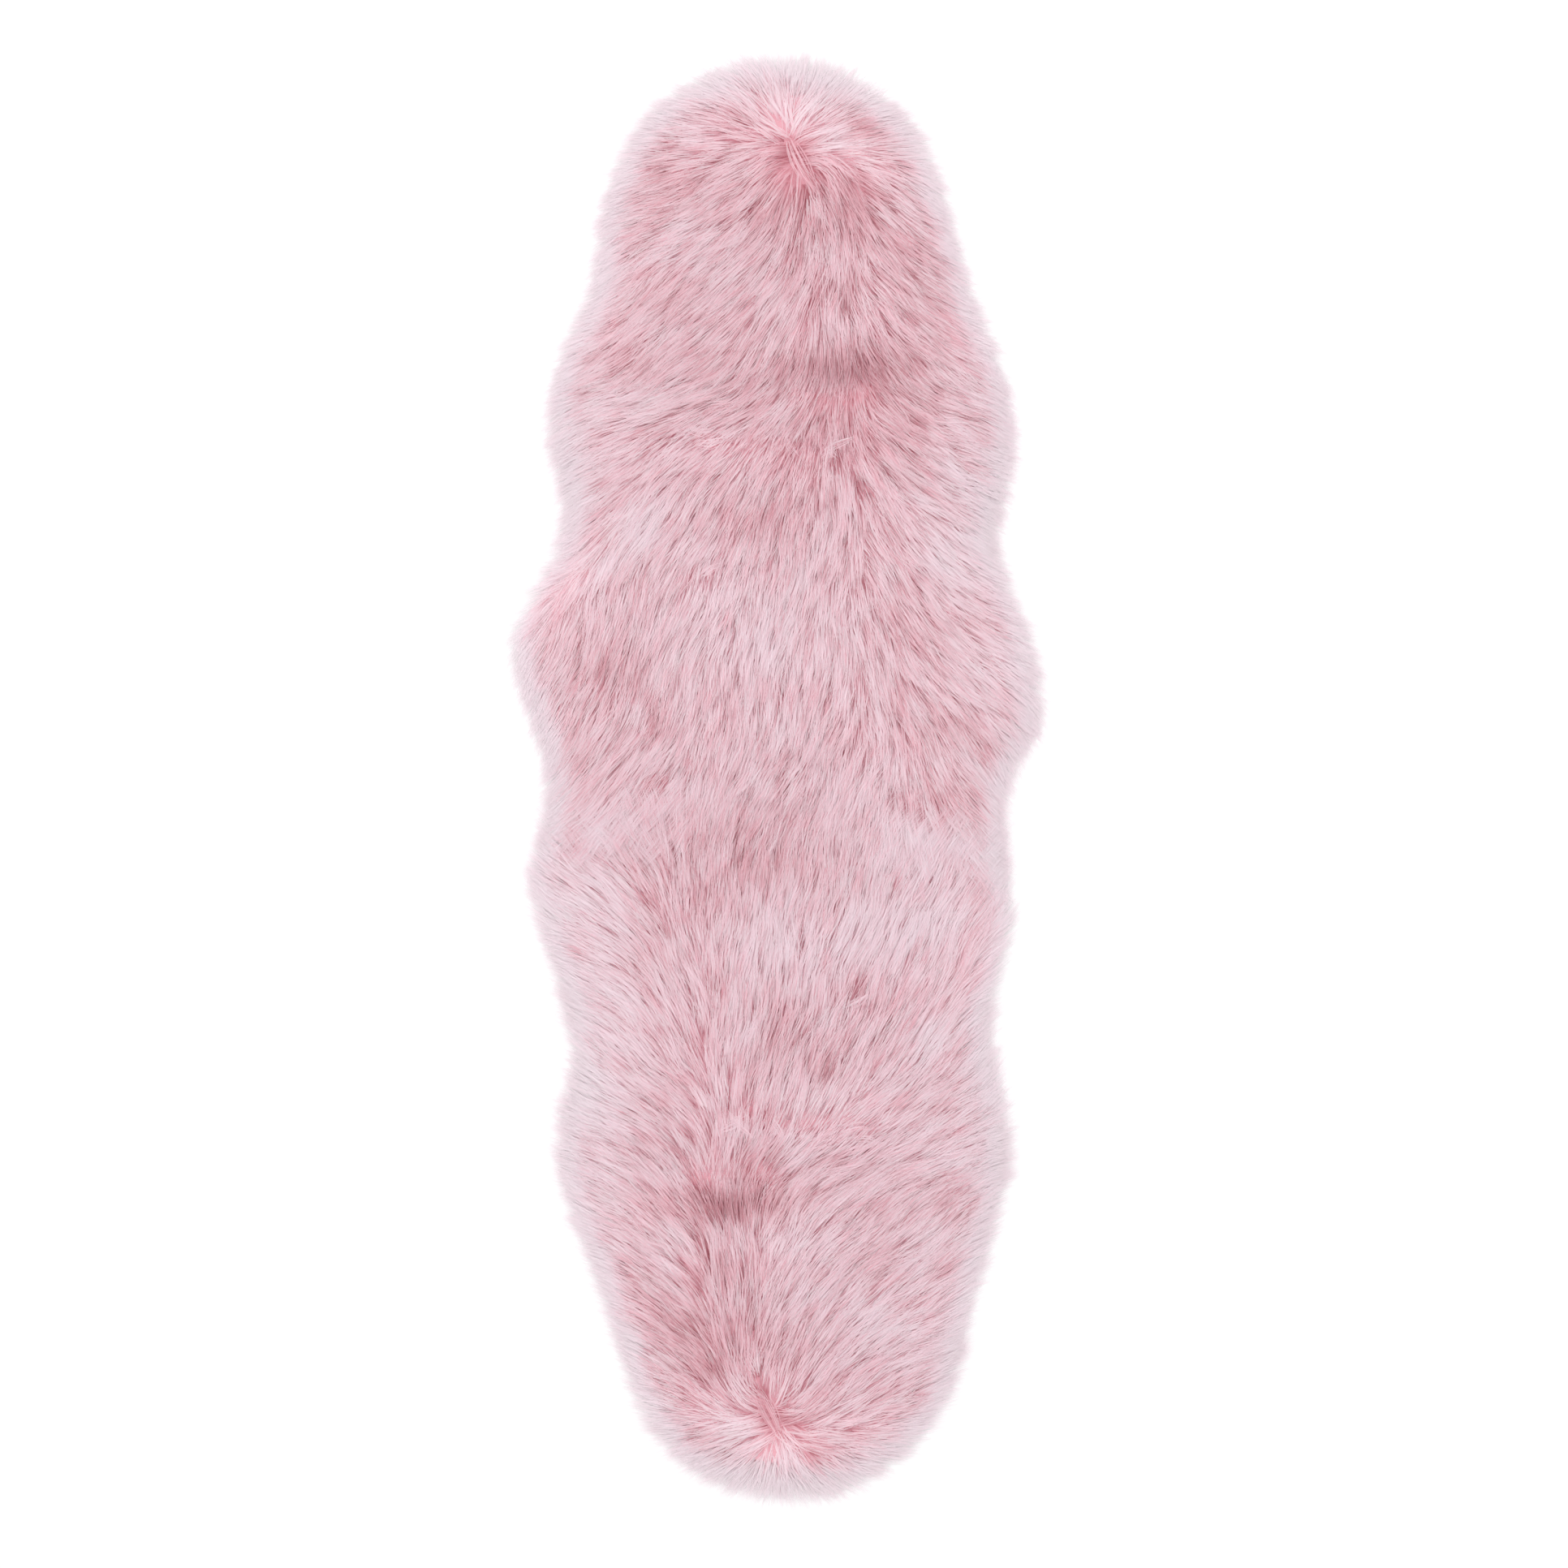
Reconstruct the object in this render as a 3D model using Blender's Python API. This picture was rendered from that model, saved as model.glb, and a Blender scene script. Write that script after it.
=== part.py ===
"""Long-pile fur rug in the outline of two pelts joined end to end, lying flat.

The rug is one thick slab of pile. Its underside lies on Z = 0, its length runs
along Y and its width along X. Both pelts are combed away from a whorl near the
rug's round end, and meet along a line across the middle, so the second pelt is
the first one turned half round. All sizes are in metres, all angles in degrees.
"""

import math
import random
from collections import namedtuple

import bmesh
import bpy
from mathutils import Matrix, Vector

# Plan of the rug
END_RADIUS = 0.216
END_CENTRE_Y = 0.684
TOP_END_CENTRE_X = -0.007
BOTTOM_END_CENTRE_X = 0.014
STATION_PITCH = 0.060
END_CORNER = 60.0
BOW_START = 0.55

# Thickness of the pile
PILE_HEIGHT = 0.038
RIM_HEIGHT = 0.022
SHOULDER_WIDTH = 0.085
SHOULDER_START = -0.025
RIM_RELIEF_SHARE = 0.4

# Tufts that the pile lies in
TUFT_LENGTH = 0.100
TUFT_HALF_WIDTH = 0.025
TUFT_RISE = 0.014
TUFT_PITCH_ACROSS = 0.046
TUFT_PITCH_ALONG = 0.060
TUFT_JITTER = 0.3
TUFT_SIZES = (0.55, 1.0)
TUFT_ROOT_WIDTH = 1.15
TUFT_NARROWING = 0.75

# Locks round the rim
LOCK_REACH = 0.040
LOCK_LEAN_LIMIT = 40.0
LOCK_SQUARE_LIMIT = 0.80
LOCK_TIP_HEIGHT = 0.0015
LOCK_LENGTH_SPREAD = 0.14
LOCKS_EVENED = 5
LOCKS_PER_CLUMP = 3
CLUMP_PULL = 5.0
LOCK_GAP_SHARE = 0.90

# Faces of the slab
COLUMNS = 26
ROWS = 88

SEED = 11

# Sides of the rug between its round ends, lock tips included.
Station = namedtuple("Station", "y left right")
STATIONS = (
    Station(0.72, -0.220, 0.206),
    Station(0.66, -0.229, 0.222),
    Station(0.60, -0.242, 0.243),
    Station(0.54, -0.270, 0.268),
    Station(0.48, -0.284, 0.285),
    Station(0.42, -0.287, 0.290),
    Station(0.36, -0.272, 0.283),
    Station(0.30, -0.276, 0.273),
    Station(0.24, -0.307, 0.286),
    Station(0.18, -0.333, 0.312),
    Station(0.12, -0.325, 0.329),
    Station(0.06, -0.307, 0.322),
    Station(0.00, -0.292, 0.287),
    Station(-0.06, -0.296, 0.282),
    Station(-0.12, -0.312, 0.286),
    Station(-0.18, -0.304, 0.290),
    Station(-0.24, -0.281, 0.277),
    Station(-0.30, -0.268, 0.265),
    Station(-0.36, -0.263, 0.270),
    Station(-0.42, -0.273, 0.283),
    Station(-0.48, -0.275, 0.286),
    Station(-0.54, -0.264, 0.274),
    Station(-0.60, -0.240, 0.257),
    Station(-0.66, -0.220, 0.241),
    Station(-0.72, -0.199, 0.227),
)

# How one pelt is combed: the lean of its strands from straight down its length,
# to the left if negative. A row is a height up the pelt, a column a place across.
COMB_X = (-0.24, -0.16, -0.08, 0.00, 0.08, 0.13, 0.18, 0.24)
Comb = namedtuple("Comb", "y leans")
COMB_ROWS = (
    Comb(0.70, (-72, -66, -52, -25, 20, 48, 60, 64)),
    Comb(0.62, (-50, -50, -47, -30, 8, 48, 56, 60)),
    Comb(0.54, (-50, -48, -45, -25, 5, 42, 55, 58)),
    Comb(0.46, (-68, -67, -64, -45, -14, 36, 56, 68)),
    Comb(0.40, (-58, -50, -45, -20, 10, 44, 62, 72)),
    Comb(0.31, (-42, -34, -26, -15, -2, 30, 48, 58)),
    Comb(0.21, (-22, -18, -22, -11, -5, 20, 44, 57)),
    Comb(0.11, (-25, -18, -13, -12, -6, 8, 40, 54)),
    Comb(0.01, (-35, -42, -15, -20, -18, -2, 18, 38)),
)

# The whorl that a pelt is combed away from, and the point both pelts turn about.
WHORL = Vector((0.014, 0.791))
WHORL_SPREAD = 1.5
WHORL_BLEND = (0.70, 0.78)
TURN_CENTRE = Vector((0.005, -0.014))

# Where the two pelts meet, as heights across the width.
Meeting = namedtuple("Meeting", "x y")
MEETING_LINE = (
    Meeting(-0.30, -0.070),
    Meeting(-0.14, -0.060),
    Meeting(-0.04, -0.022),
    Meeting(0.08, -0.025),
    Meeting(0.15, -0.080),
    Meeting(0.30, -0.110),
)

# Rises and hollows of one pelt's pile.
Billow = namedtuple("Billow", "x y half_width half_length rise")
BILLOWS = (
    Billow(0.014, 0.791, 0.040, 0.034, -0.012),
    Billow(0.042, 0.718, 0.030, 0.026, -0.008),
    Billow(-0.020, 0.850, 0.110, 0.030, 0.004),
    Billow(0.030, 0.660, 0.120, 0.045, -0.004),
    Billow(0.060, 0.575, 0.130, 0.050, 0.005),
    Billow(0.090, 0.480, 0.150, 0.032, -0.009),
    Billow(0.060, 0.400, 0.190, 0.040, 0.008),
    Billow(-0.160, 0.430, 0.080, 0.060, -0.004),
    Billow(-0.120, 0.250, 0.100, 0.050, 0.004),
    Billow(0.160, 0.290, 0.070, 0.060, 0.003),
    Billow(-0.240, 0.150, 0.070, 0.090, 0.003),
    Billow(0.000, 0.150, 0.110, 0.040, -0.004),
    Billow(0.180, 0.110, 0.050, 0.040, 0.004),
    Billow(-0.020, 0.010, 0.130, 0.030, 0.003),
)

# Sections of a lock: shares of its length, of its root's width and of its height.
LockSection = namedtuple("LockSection", "along width height")
LOCK_SECTIONS = (
    LockSection(0.36, 0.96, 0.78),
    LockSection(0.72, 0.66, 0.42),
)


def smooth_step(value, low, high):
    """Ease from 0 at low to 1 at high."""
    share = min(max((value - low) / (high - low), 0.0), 1.0)
    return share * share * (3.0 - 2.0 * share)


def blend_rows(value, places, rows):
    """Read rows of numbers at a place between the falling or rising places."""
    if places[0] > places[-1]:
        return blend_rows(-value, [-place for place in places], rows)
    value = min(max(value, places[0]), places[-1])
    last = len(places) - 2
    index = min(sum(value >= place for place in places[1:]), last)
    share = smooth_step(value, places[index], places[index + 1])
    return [a + (b - a) * share for a, b in zip(rows[index], rows[index + 1])]


def catmull_rom(before, start, end, after, t):
    """Point at t from 0 to 1 on the smooth curve from start to end."""
    bend = 2.0 * before - 5.0 * start + 4.0 * end - after
    turn = 3.0 * (start - end) + after - before
    return start + 0.5 * t * (end - before + t * (bend + t * turn))


def side_edges(y):
    """Left and right edge between the round ends, through the stations."""
    place = (STATIONS[0].y - y) / STATION_PITCH
    last = len(STATIONS) - 1
    index = min(max(int(place), 0), last - 1)
    near = [STATIONS[min(max(index + step, 0), last)] for step in (-1, 0, 1, 2)]
    left = catmull_rom(*(station.left for station in near), place - index)
    right = catmull_rom(*(station.right for station in near), place - index)
    return left, right


def edges_at(y):
    """Left and right edge of the slab at y, inside the locks."""
    if abs(y) <= STATIONS[0].y:
        left, right = side_edges(y)
        return left + LOCK_REACH, right - LOCK_REACH
    centre_x = TOP_END_CENTRE_X if y > 0 else BOTTOM_END_CENTRE_X
    radius = END_RADIUS - LOCK_REACH
    half = math.sqrt(max(radius**2 - (abs(y) - END_CENTRE_Y) ** 2, 0.0))
    return centre_x - half, centre_x + half


def plan_point(u, v):
    """Place of a grid point, from -1 to 1 across and along the slab.

    Rows are straight along the sides, and bow into the end's arc towards it.
    """
    radius = END_RADIUS - LOCK_REACH
    corner = math.radians(END_CORNER)
    y = v * (END_CENTRE_Y + radius * math.cos(corner))
    left, right = edges_at(y)
    bow = radius * (1.0 - math.cos(corner)) * smooth_step(abs(v), BOW_START, 1.0)
    across = math.sin(u * corner) / math.sin(corner)
    along = (math.cos(u * corner) - math.cos(corner)) / (1.0 - math.cos(corner))
    x = 0.5 * (left + right) + 0.5 * (right - left) * across
    return Vector((x, y + math.copysign(bow * along, v)))


def turned(point):
    """The same place on the other pelt."""
    return 2.0 * TURN_CENTRE - point


def meeting_y(x):
    """Height at which the pelts meet, at x."""
    return blend_rows(x, [m.x for m in MEETING_LINE], [(m.y,) for m in MEETING_LINE])[0]


def pelt_heading(point):
    """Unit vector along which the first pelt's strands lie at a point."""
    leans = blend_rows(point.y, [row.y for row in COMB_ROWS], [row.leans for row in COMB_ROWS])
    lean = math.radians(blend_rows(point.x, COMB_X, [(value,) for value in leans])[0])
    combed = Vector((math.sin(lean), -math.cos(lean)))
    away = point - WHORL
    away.x *= WHORL_SPREAD
    share = smooth_step(point.y, *WHORL_BLEND)
    return combed.lerp(away.normalized(), share).normalized()


def heading(point):
    """Unit vector along which the strands lie at any point of the rug."""
    if point.y >= meeting_y(point.x):
        return pelt_heading(point)
    return -pelt_heading(turned(point))


def rim_distance(point):
    """Distance in from the slab's rim, roughly."""
    if abs(point.y) > END_CENTRE_Y:
        centre_x = TOP_END_CENTRE_X if point.y > 0 else BOTTOM_END_CENTRE_X
        centre = Vector((centre_x, math.copysign(END_CENTRE_Y, point.y)))
        distance = END_RADIUS - LOCK_REACH - (point - centre).length
    else:
        left, right = edges_at(point.y)
        distance = min(point.x - left, right - point.x)
    return max(distance, 0.0)


def billow_height(point):
    """Rise of the pile at a point through both pelts' rises and hollows."""
    total = 0.0
    for billow in BILLOWS:
        for place in (point, turned(point)):
            across = (place.x - billow.x) / billow.half_width
            along = (place.y - billow.y) / billow.half_length
            total += billow.rise * math.exp(-across * across - along * along)
    return total


def lay_tufts():
    """Root, heading and size share of each tuft, in staggered rows across the rug."""
    chance = random.Random(SEED)
    half_length = END_CENTRE_Y + END_RADIUS
    half_width = -min(station.left for station in STATIONS)
    tufts = []
    for row in range(int(2 * half_length / TUFT_PITCH_ALONG) + 1):
        for column in range(int(2 * half_width / TUFT_PITCH_ACROSS) + 2):
            across = column + 0.5 * (row % 2) + chance.uniform(-TUFT_JITTER, TUFT_JITTER)
            down = row + chance.uniform(-TUFT_JITTER, TUFT_JITTER)
            x = across * TUFT_PITCH_ACROSS - half_width
            root = Vector((x, half_length - down * TUFT_PITCH_ALONG))
            tufts.append((root, heading(root), chance.uniform(*TUFT_SIZES)))
    return tufts


def tuft_height(point, tufts):
    """Height of the topmost tuft at a point. A tuft climbs from its root to a narrow tip."""
    best = 0.0
    for root, direction, share in tufts:
        offset = point - root
        along = offset.dot(direction) / TUFT_LENGTH
        if not 0.0 < along < 1.0:
            continue
        half_width = TUFT_HALF_WIDTH * (TUFT_ROOT_WIDTH - TUFT_NARROWING * along * along)
        across = offset.cross(direction) / half_width
        if abs(across) < 1.0:
            best = max(best, TUFT_RISE * share * along * (1.0 - across * across))
    return best


def pile_height(point, tufts):
    """Top of the pile above the floor at a point of the slab."""
    shoulder = smooth_step(rim_distance(point), SHOULDER_START, SHOULDER_WIDTH)
    body = RIM_HEIGHT + (PILE_HEIGHT - RIM_HEIGHT) * shoulder
    relief = billow_height(point) + tuft_height(point, tufts)
    return body + relief * (RIM_RELIEF_SHARE + (1.0 - RIM_RELIEF_SHARE) * shoulder)


def lay_locks(walls):
    """Root in the plan and run to the tip of the lock on each wall face.

    A lock lies as the pile is combed there, as far as LOCK_LEAN_LIMIT from
    square to the rim, evened out with the locks beside it, and its clump's
    outer locks are drawn to the middle one. It reaches the rug's outline.
    """
    chance = random.Random(SEED)
    roots = [wall.calc_center_median().to_2d() for wall in walls]
    outwards = [wall.normal.to_2d().normalized() for wall in walls]
    combed = []
    for root, outward in zip(roots, outwards):
        lean = -outward.angle_signed(heading(root))
        limit = math.radians(LOCK_LEAN_LIMIT)
        combed.append(Matrix.Rotation(min(max(lean, -limit), limit), 2) @ outward)
    locks = []
    for index, (root, outward) in enumerate(zip(roots, outwards)):
        beside = range(index - LOCKS_EVENED, index + LOCKS_EVENED + 1)
        even = sum((combed[place % len(combed)] for place in beside), Vector((0.0, 0.0)))
        reach = LOCK_REACH / max(even.normalized().dot(outward), LOCK_SQUARE_LIMIT)
        reach *= 1.0 - chance.uniform(0.0, LOCK_LENGTH_SPREAD)
        pull = CLUMP_PULL * (index % LOCKS_PER_CLUMP - 0.5 * (LOCKS_PER_CLUMP - 1))
        turn = Matrix.Rotation(math.radians(-pull), 2)
        locks.append((root, turn @ even.normalized() * reach))
    return locks


def lock_room(middle, half_width, lock, neighbours):
    """Share of its root's width that a lock may have at a point, clear of its neighbours."""
    half = abs(half_width.cross(lock[1].normalized()))
    gaps = (abs((root - middle).cross(run.normalized())) for root, run in neighbours)
    return 0.5 * LOCK_GAP_SHARE * min(gaps) / half


def grow_lock(bm, wall, lock, neighbours):
    """Draw one wall face out into a pointed lock on the floor, clear of its neighbours."""
    root, run = lock
    corners = [vertex.co.copy() for vertex in wall.verts]
    half_width = max((corner.to_2d() - root for corner in corners), key=lambda side: side.length)
    face = wall
    for section in LOCK_SECTIONS:
        middle = root + run * section.along
        width = min(section.width, lock_room(middle, half_width, lock, neighbours))
        face = bmesh.ops.extrude_discrete_faces(bm, faces=[face])["faces"][0]
        for vertex, corner in zip(face.verts, corners):
            plan = middle + (corner.to_2d() - root) * width
            vertex.co = (plan.x, plan.y, corner.z * section.height)
    tip = bmesh.ops.poke(bm, faces=[face])["verts"][0]
    tip.co = (*(root + run), LOCK_TIP_HEIGHT)


def centre_on_origin(bm):
    """Move the rug so that the middle of its length and width stands over the origin."""
    for axis in (0, 1):
        places = [vertex.co[axis] for vertex in bm.verts]
        middle = 0.5 * (min(places) + max(places))
        for vertex in bm.verts:
            vertex.co[axis] -= middle


def build_pile():
    """The rug's mesh: a lumpy slab on a flat underside, with a lock on each rim face."""
    bm = bmesh.new()
    bmesh.ops.create_grid(bm, x_segments=COLUMNS, y_segments=ROWS, size=1.0)
    rim = [edge for edge in bm.edges if edge.is_boundary]
    drawn = bmesh.ops.extrude_edge_only(bm, edges=rim)["geom"]
    foot = [item for item in drawn if isinstance(item, bmesh.types.BMEdge) and item.is_boundary]
    walls = [item for item in drawn if isinstance(item, bmesh.types.BMFace)]
    walls.sort(key=lambda wall: math.atan2(*wall.calc_center_median().to_2d()))
    on_floor = {vertex for edge in foot for vertex in edge.verts}
    tufts = lay_tufts()
    for vertex in bm.verts:
        point = plan_point(vertex.co.x, vertex.co.y)
        height = 0.0 if vertex in on_floor else pile_height(point, tufts)
        vertex.co = (point.x, point.y, height)
    bmesh.ops.contextual_create(bm, geom=foot)
    bmesh.ops.recalc_face_normals(bm, faces=bm.faces)
    locks = lay_locks(walls)
    for index, wall in enumerate(walls):
        neighbours = (locks[index - 1], locks[(index + 1) % len(locks)])
        grow_lock(bm, wall, locks[index], neighbours)
    centre_on_origin(bm)
    bmesh.ops.recalc_face_normals(bm, faces=bm.faces)
    mesh = bpy.data.meshes.new("fur_pile")
    bm.to_mesh(mesh)
    bm.free()
    return mesh


def fur_material():
    """Soft pink fur, matt."""
    material = bpy.data.materials.new("pink_fur")
    material.use_nodes = True
    shader = material.node_tree.nodes["Principled BSDF"]
    shader.inputs["Base Color"].default_value = (0.76, 0.50, 0.55, 1.0)
    shader.inputs["Roughness"].default_value = 0.9
    shader.inputs["Metallic"].default_value = 0.0
    return material


def main():
    """Build the rug as one object in a collection of its own."""
    for item in list(bpy.data.objects):
        bpy.data.objects.remove(item, do_unlink=True)
    collection = bpy.data.collections.new("fur_rug")
    bpy.context.scene.collection.children.link(collection)
    rug = bpy.data.objects.new("fur_pile", build_pile())
    rug.data.materials.append(fur_material())
    collection.objects.link(rug)


main()
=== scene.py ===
"""Looks of the long-pile fur rug: its strands, wool and backing, the light and the camera.

The rug lies on the floor at Z = 0 with its length along Y. Two pelts are joined
end to end. Each is combed away from a whorl near the rug's round end, and the
lower pelt is the upper one turned half round. Sizes are in metres and angles in
degrees unless a name says otherwise. Plan points are arrays of X and Y.
"""

import logging
import math
from dataclasses import dataclass, fields
from enum import Enum
from typing import Any

import bpy
import numpy as np
from mathutils import Matrix


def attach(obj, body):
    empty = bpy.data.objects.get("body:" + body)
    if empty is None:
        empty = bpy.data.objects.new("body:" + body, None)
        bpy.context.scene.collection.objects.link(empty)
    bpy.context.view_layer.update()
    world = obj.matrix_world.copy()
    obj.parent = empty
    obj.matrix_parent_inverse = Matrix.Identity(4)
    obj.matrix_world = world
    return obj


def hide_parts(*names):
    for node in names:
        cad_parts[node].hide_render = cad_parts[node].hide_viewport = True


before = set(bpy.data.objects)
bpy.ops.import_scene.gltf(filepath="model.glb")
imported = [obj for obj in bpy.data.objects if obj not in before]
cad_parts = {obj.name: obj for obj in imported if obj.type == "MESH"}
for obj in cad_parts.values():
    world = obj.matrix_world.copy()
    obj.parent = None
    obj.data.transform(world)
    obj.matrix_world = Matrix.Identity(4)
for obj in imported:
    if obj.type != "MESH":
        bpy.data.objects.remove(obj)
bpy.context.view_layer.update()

Array = np.ndarray
Colour = tuple[float, float, float]

NODE = "fur_pile"
BODY = "root"
BAKE_MAP = "OFBake"
SEED = 7

# Moves the plan so that the rug is centred on the frame's origin.
CENTRING = (0.0031, -0.0007)

# Least length that a vector is divided by.
SHORTEST = 1e-9

log = logging.getLogger("fur_rug")


def ease(value: Array, low: float, high: float) -> Array:
    """Ease from 0 at low to 1 at high.

    Args:
        value: Numbers to ease.
        low: Where the result leaves 0.
        high: Where the result reaches 1.

    Returns:
        Shares from 0 to 1.
    """
    share = np.clip((np.asarray(value, float) - low) / (high - low), 0.0, 1.0)
    return share * share * (3.0 - 2.0 * share)


def read_row(value: Array, places: Array, rows: Array) -> Array:
    """Read rows of numbers at places between those they are given for.

    Args:
        value: Where to read, one number for each result.
        places: Rising places that the rows belong to.
        rows: One row of numbers for each place.

    Returns:
        One eased blend of two neighbouring rows for each value.
    """
    value = np.clip(value, places[0], places[-1])
    index = np.clip(np.searchsorted(places, value, side="right") - 1, 0, len(places) - 2)
    share = ease((value - places[index]) / (places[index + 1] - places[index]), 0.0, 1.0)
    share = share.reshape(share.shape + (1,) * (rows.ndim - 1))
    return rows[index] + (rows[index + 1] - rows[index]) * share


def blend_cells(values: Array, place: tuple[Array, Array], share: tuple[Array, Array]) -> Array:
    """Blend the four corners of cells of a lattice.

    Args:
        values: Numbers or vectors at the lattice's corners, by row and column.
        place: Row and column of each cell's first corner.
        share: How far up and across each cell to read, from 0 to 1.

    Returns:
        One number or vector for each cell.
    """
    (i, j), (up, across) = place, share
    low = values[i, j] * (1.0 - across) + values[i, j + 1] * across
    high = values[i + 1, j] * (1.0 - across) + values[i + 1, j + 1] * across
    return low * (1.0 - up) + high * up


def unit(vectors: Array) -> Array:
    """Scale vectors to length 1."""
    return vectors / np.maximum(np.linalg.norm(vectors, axis=-1, keepdims=True), SHORTEST)


def rotate(vectors: Array, angles: Array) -> Array:
    """Turn plan vectors to the left.

    Args:
        vectors: Plan vectors, one a row.
        angles: Their turns in radians.

    Returns:
        The turned vectors.
    """
    cos, sin = np.cos(angles), np.sin(angles)
    x = vectors[..., 0] * cos - vectors[..., 1] * sin
    y = vectors[..., 0] * sin + vectors[..., 1] * cos
    return np.stack((x, y), axis=-1)


@dataclass(frozen=True)
class Station:
    """A place along the rug's sides: its height in the plan and both edges."""

    y: float
    left: float
    right: float


@dataclass(frozen=True)
class Outline:
    """Plan of the rug to the tips of its rim: two wavy sides and two round ends."""

    end_radius: float = 0.216
    end_centre_y: float = 0.684
    top_centre_x: float = -0.005
    bottom_centre_x: float = 0.014
    stations: tuple[Station, ...] = (
        Station(0.72, -0.220, 0.211),
        Station(0.66, -0.230, 0.226),
        Station(0.60, -0.242, 0.243),
        Station(0.54, -0.272, 0.272),
        Station(0.48, -0.284, 0.285),
        Station(0.42, -0.287, 0.290),
        Station(0.36, -0.272, 0.283),
        Station(0.30, -0.279, 0.271),
        Station(0.24, -0.319, 0.290),
        Station(0.18, -0.340, 0.313),
        Station(0.12, -0.329, 0.327),
        Station(0.06, -0.307, 0.322),
        Station(0.00, -0.292, 0.287),
        Station(-0.06, -0.296, 0.282),
        Station(-0.12, -0.312, 0.286),
        Station(-0.18, -0.305, 0.295),
        Station(-0.24, -0.281, 0.283),
        Station(-0.30, -0.268, 0.265),
        Station(-0.36, -0.260, 0.270),
        Station(-0.42, -0.273, 0.283),
        Station(-0.48, -0.275, 0.286),
        Station(-0.54, -0.264, 0.274),
        Station(-0.60, -0.240, 0.257),
        Station(-0.66, -0.220, 0.241),
        Station(-0.72, -0.199, 0.227),
    )

    def sides(self, y: Array) -> tuple[Array, Array]:
        """Find the edges at heights between the round ends.

        Args:
            y: Heights in the plan.

        Returns:
            The left and the right edge at each height.
        """
        pitch = self.stations[0].y - self.stations[1].y
        last = len(self.stations) - 1
        place = (self.stations[0].y - y) / pitch
        index = np.clip(place.astype(int), 0, last - 1)
        t = (place - index)[:, None]
        table = np.array([(station.left, station.right) for station in self.stations])
        before, start, end, after = (
            table[np.clip(index + step, 0, last)] for step in (-1, 0, 1, 2)
        )
        bend = 2.0 * before - 5.0 * start + 4.0 * end - after
        turn = 3.0 * (start - end) + after - before
        edges = start + 0.5 * t * (end - before + t * (bend + t * turn))
        return edges[:, 0], edges[:, 1]

    def edges(self, y: Array, inset: float = 0.0) -> tuple[Array, Array]:
        """Find the edges at any heights, the round ends included.

        Args:
            y: Heights in the plan.
            inset: How far inside the outline to stay.

        Returns:
            The left and the right edge at each height.
        """
        left, right = self.sides(np.clip(y, self.stations[-1].y, self.stations[0].y))
        centre = np.where(y > 0.0, self.top_centre_x, self.bottom_centre_x)
        radius = self.end_radius - inset
        half = np.sqrt(np.maximum(radius**2 - (np.abs(y) - self.end_centre_y) ** 2, 0.0))
        on_end = np.abs(y) > self.stations[0].y
        left = np.where(on_end, centre - half, left + inset)
        right = np.where(on_end, centre + half, right - inset)
        return left, right

    def line(self, pitch: float = 0.006) -> Array:
        """Lay points along the whole outline.

        Args:
            pitch: Rough distance between them.

        Returns:
            Plan points, once round.
        """
        limit = self.stations[0].y
        y = np.arange(-limit, limit, pitch)
        left, right = self.sides(y)
        start = math.asin((limit - self.end_centre_y) / self.end_radius)
        angle = np.arange(start, math.pi - start, pitch / self.end_radius)
        arc = self.end_radius * np.stack((np.cos(angle), np.sin(angle)), axis=-1)
        top = arc + (self.top_centre_x, self.end_centre_y)
        bottom = arc * (1.0, -1.0) + (self.bottom_centre_x, -self.end_centre_y)
        sides = (np.stack((left, y), axis=-1), np.stack((right, y), axis=-1))
        return np.concatenate((*sides, top, bottom))

    def contains(self, points: Array) -> Array:
        """Tell which plan points lie inside the outline."""
        left, right = self.edges(points[:, 1])
        return (points[:, 0] > left) & (points[:, 0] < right)


@dataclass(frozen=True)
class PlanGrid:
    """Even grid over the rug's plan, which slow sums are worked out on once.

    Reading stops far_margin steps short of the grid's size, so that each cell that
    is read has all its corners.
    """

    half_width: float = 0.42
    half_length: float = 0.98
    pitch: float = 0.005
    far_margin: float = 1.001

    def axes(self) -> tuple[Array, Array]:
        """Lay the grid's lines.

        Returns:
            Its columns in X and its rows in Y.
        """
        columns = np.arange(-self.half_width, self.half_width + self.pitch, self.pitch)
        rows = np.arange(-self.half_length, self.half_length + self.pitch, self.pitch)
        return columns, rows

    def nodes(self) -> Array:
        """Give the grid's plan points, row by row."""
        return np.stack(np.meshgrid(*self.axes()), axis=-1)

    def sample(self, values: Array, points: Array) -> Array:
        """Read values kept on the grid between its nodes.

        Args:
            values: One number or vector for each node.
            points: Plan points, one a row.

        Returns:
            One number or vector for each point.
        """
        rows, columns = values.shape[:2]
        x = (points[:, 0] + self.half_width) / self.pitch
        y = (points[:, 1] + self.half_length) / self.pitch
        x = np.clip(x, 0.0, columns - self.far_margin)
        y = np.clip(y, 0.0, rows - self.far_margin)
        i, j = y.astype(int), x.astype(int)
        extra = (1,) * (values.ndim - 2)
        share = ((y - i).reshape(-1, *extra), (x - j).reshape(-1, *extra))
        return blend_cells(values, (i, j), share)


@dataclass(frozen=True)
class Drift:
    """Smooth random numbers from -1 to 1, out to half_plan from the plan's middle."""

    seed: int
    size: float
    half_plan: float = 1.2

    def at(self, points: Array) -> Array:
        """Read the drift at plan points.

        Args:
            points: Plan points, one a row.

        Returns:
            One number for each point.
        """
        cells = int(2.0 * self.half_plan / self.size) + 3
        lattice = np.random.default_rng(self.seed).uniform(-1.0, 1.0, (cells, cells))
        place = (points + self.half_plan) / self.size
        low = np.clip(place.astype(int), 0, cells - 2)
        share = ease(place - low, 0.0, 1.0)
        return blend_cells(lattice, (low[:, 1], low[:, 0]), (share[:, 1], share[:, 0]))


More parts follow.
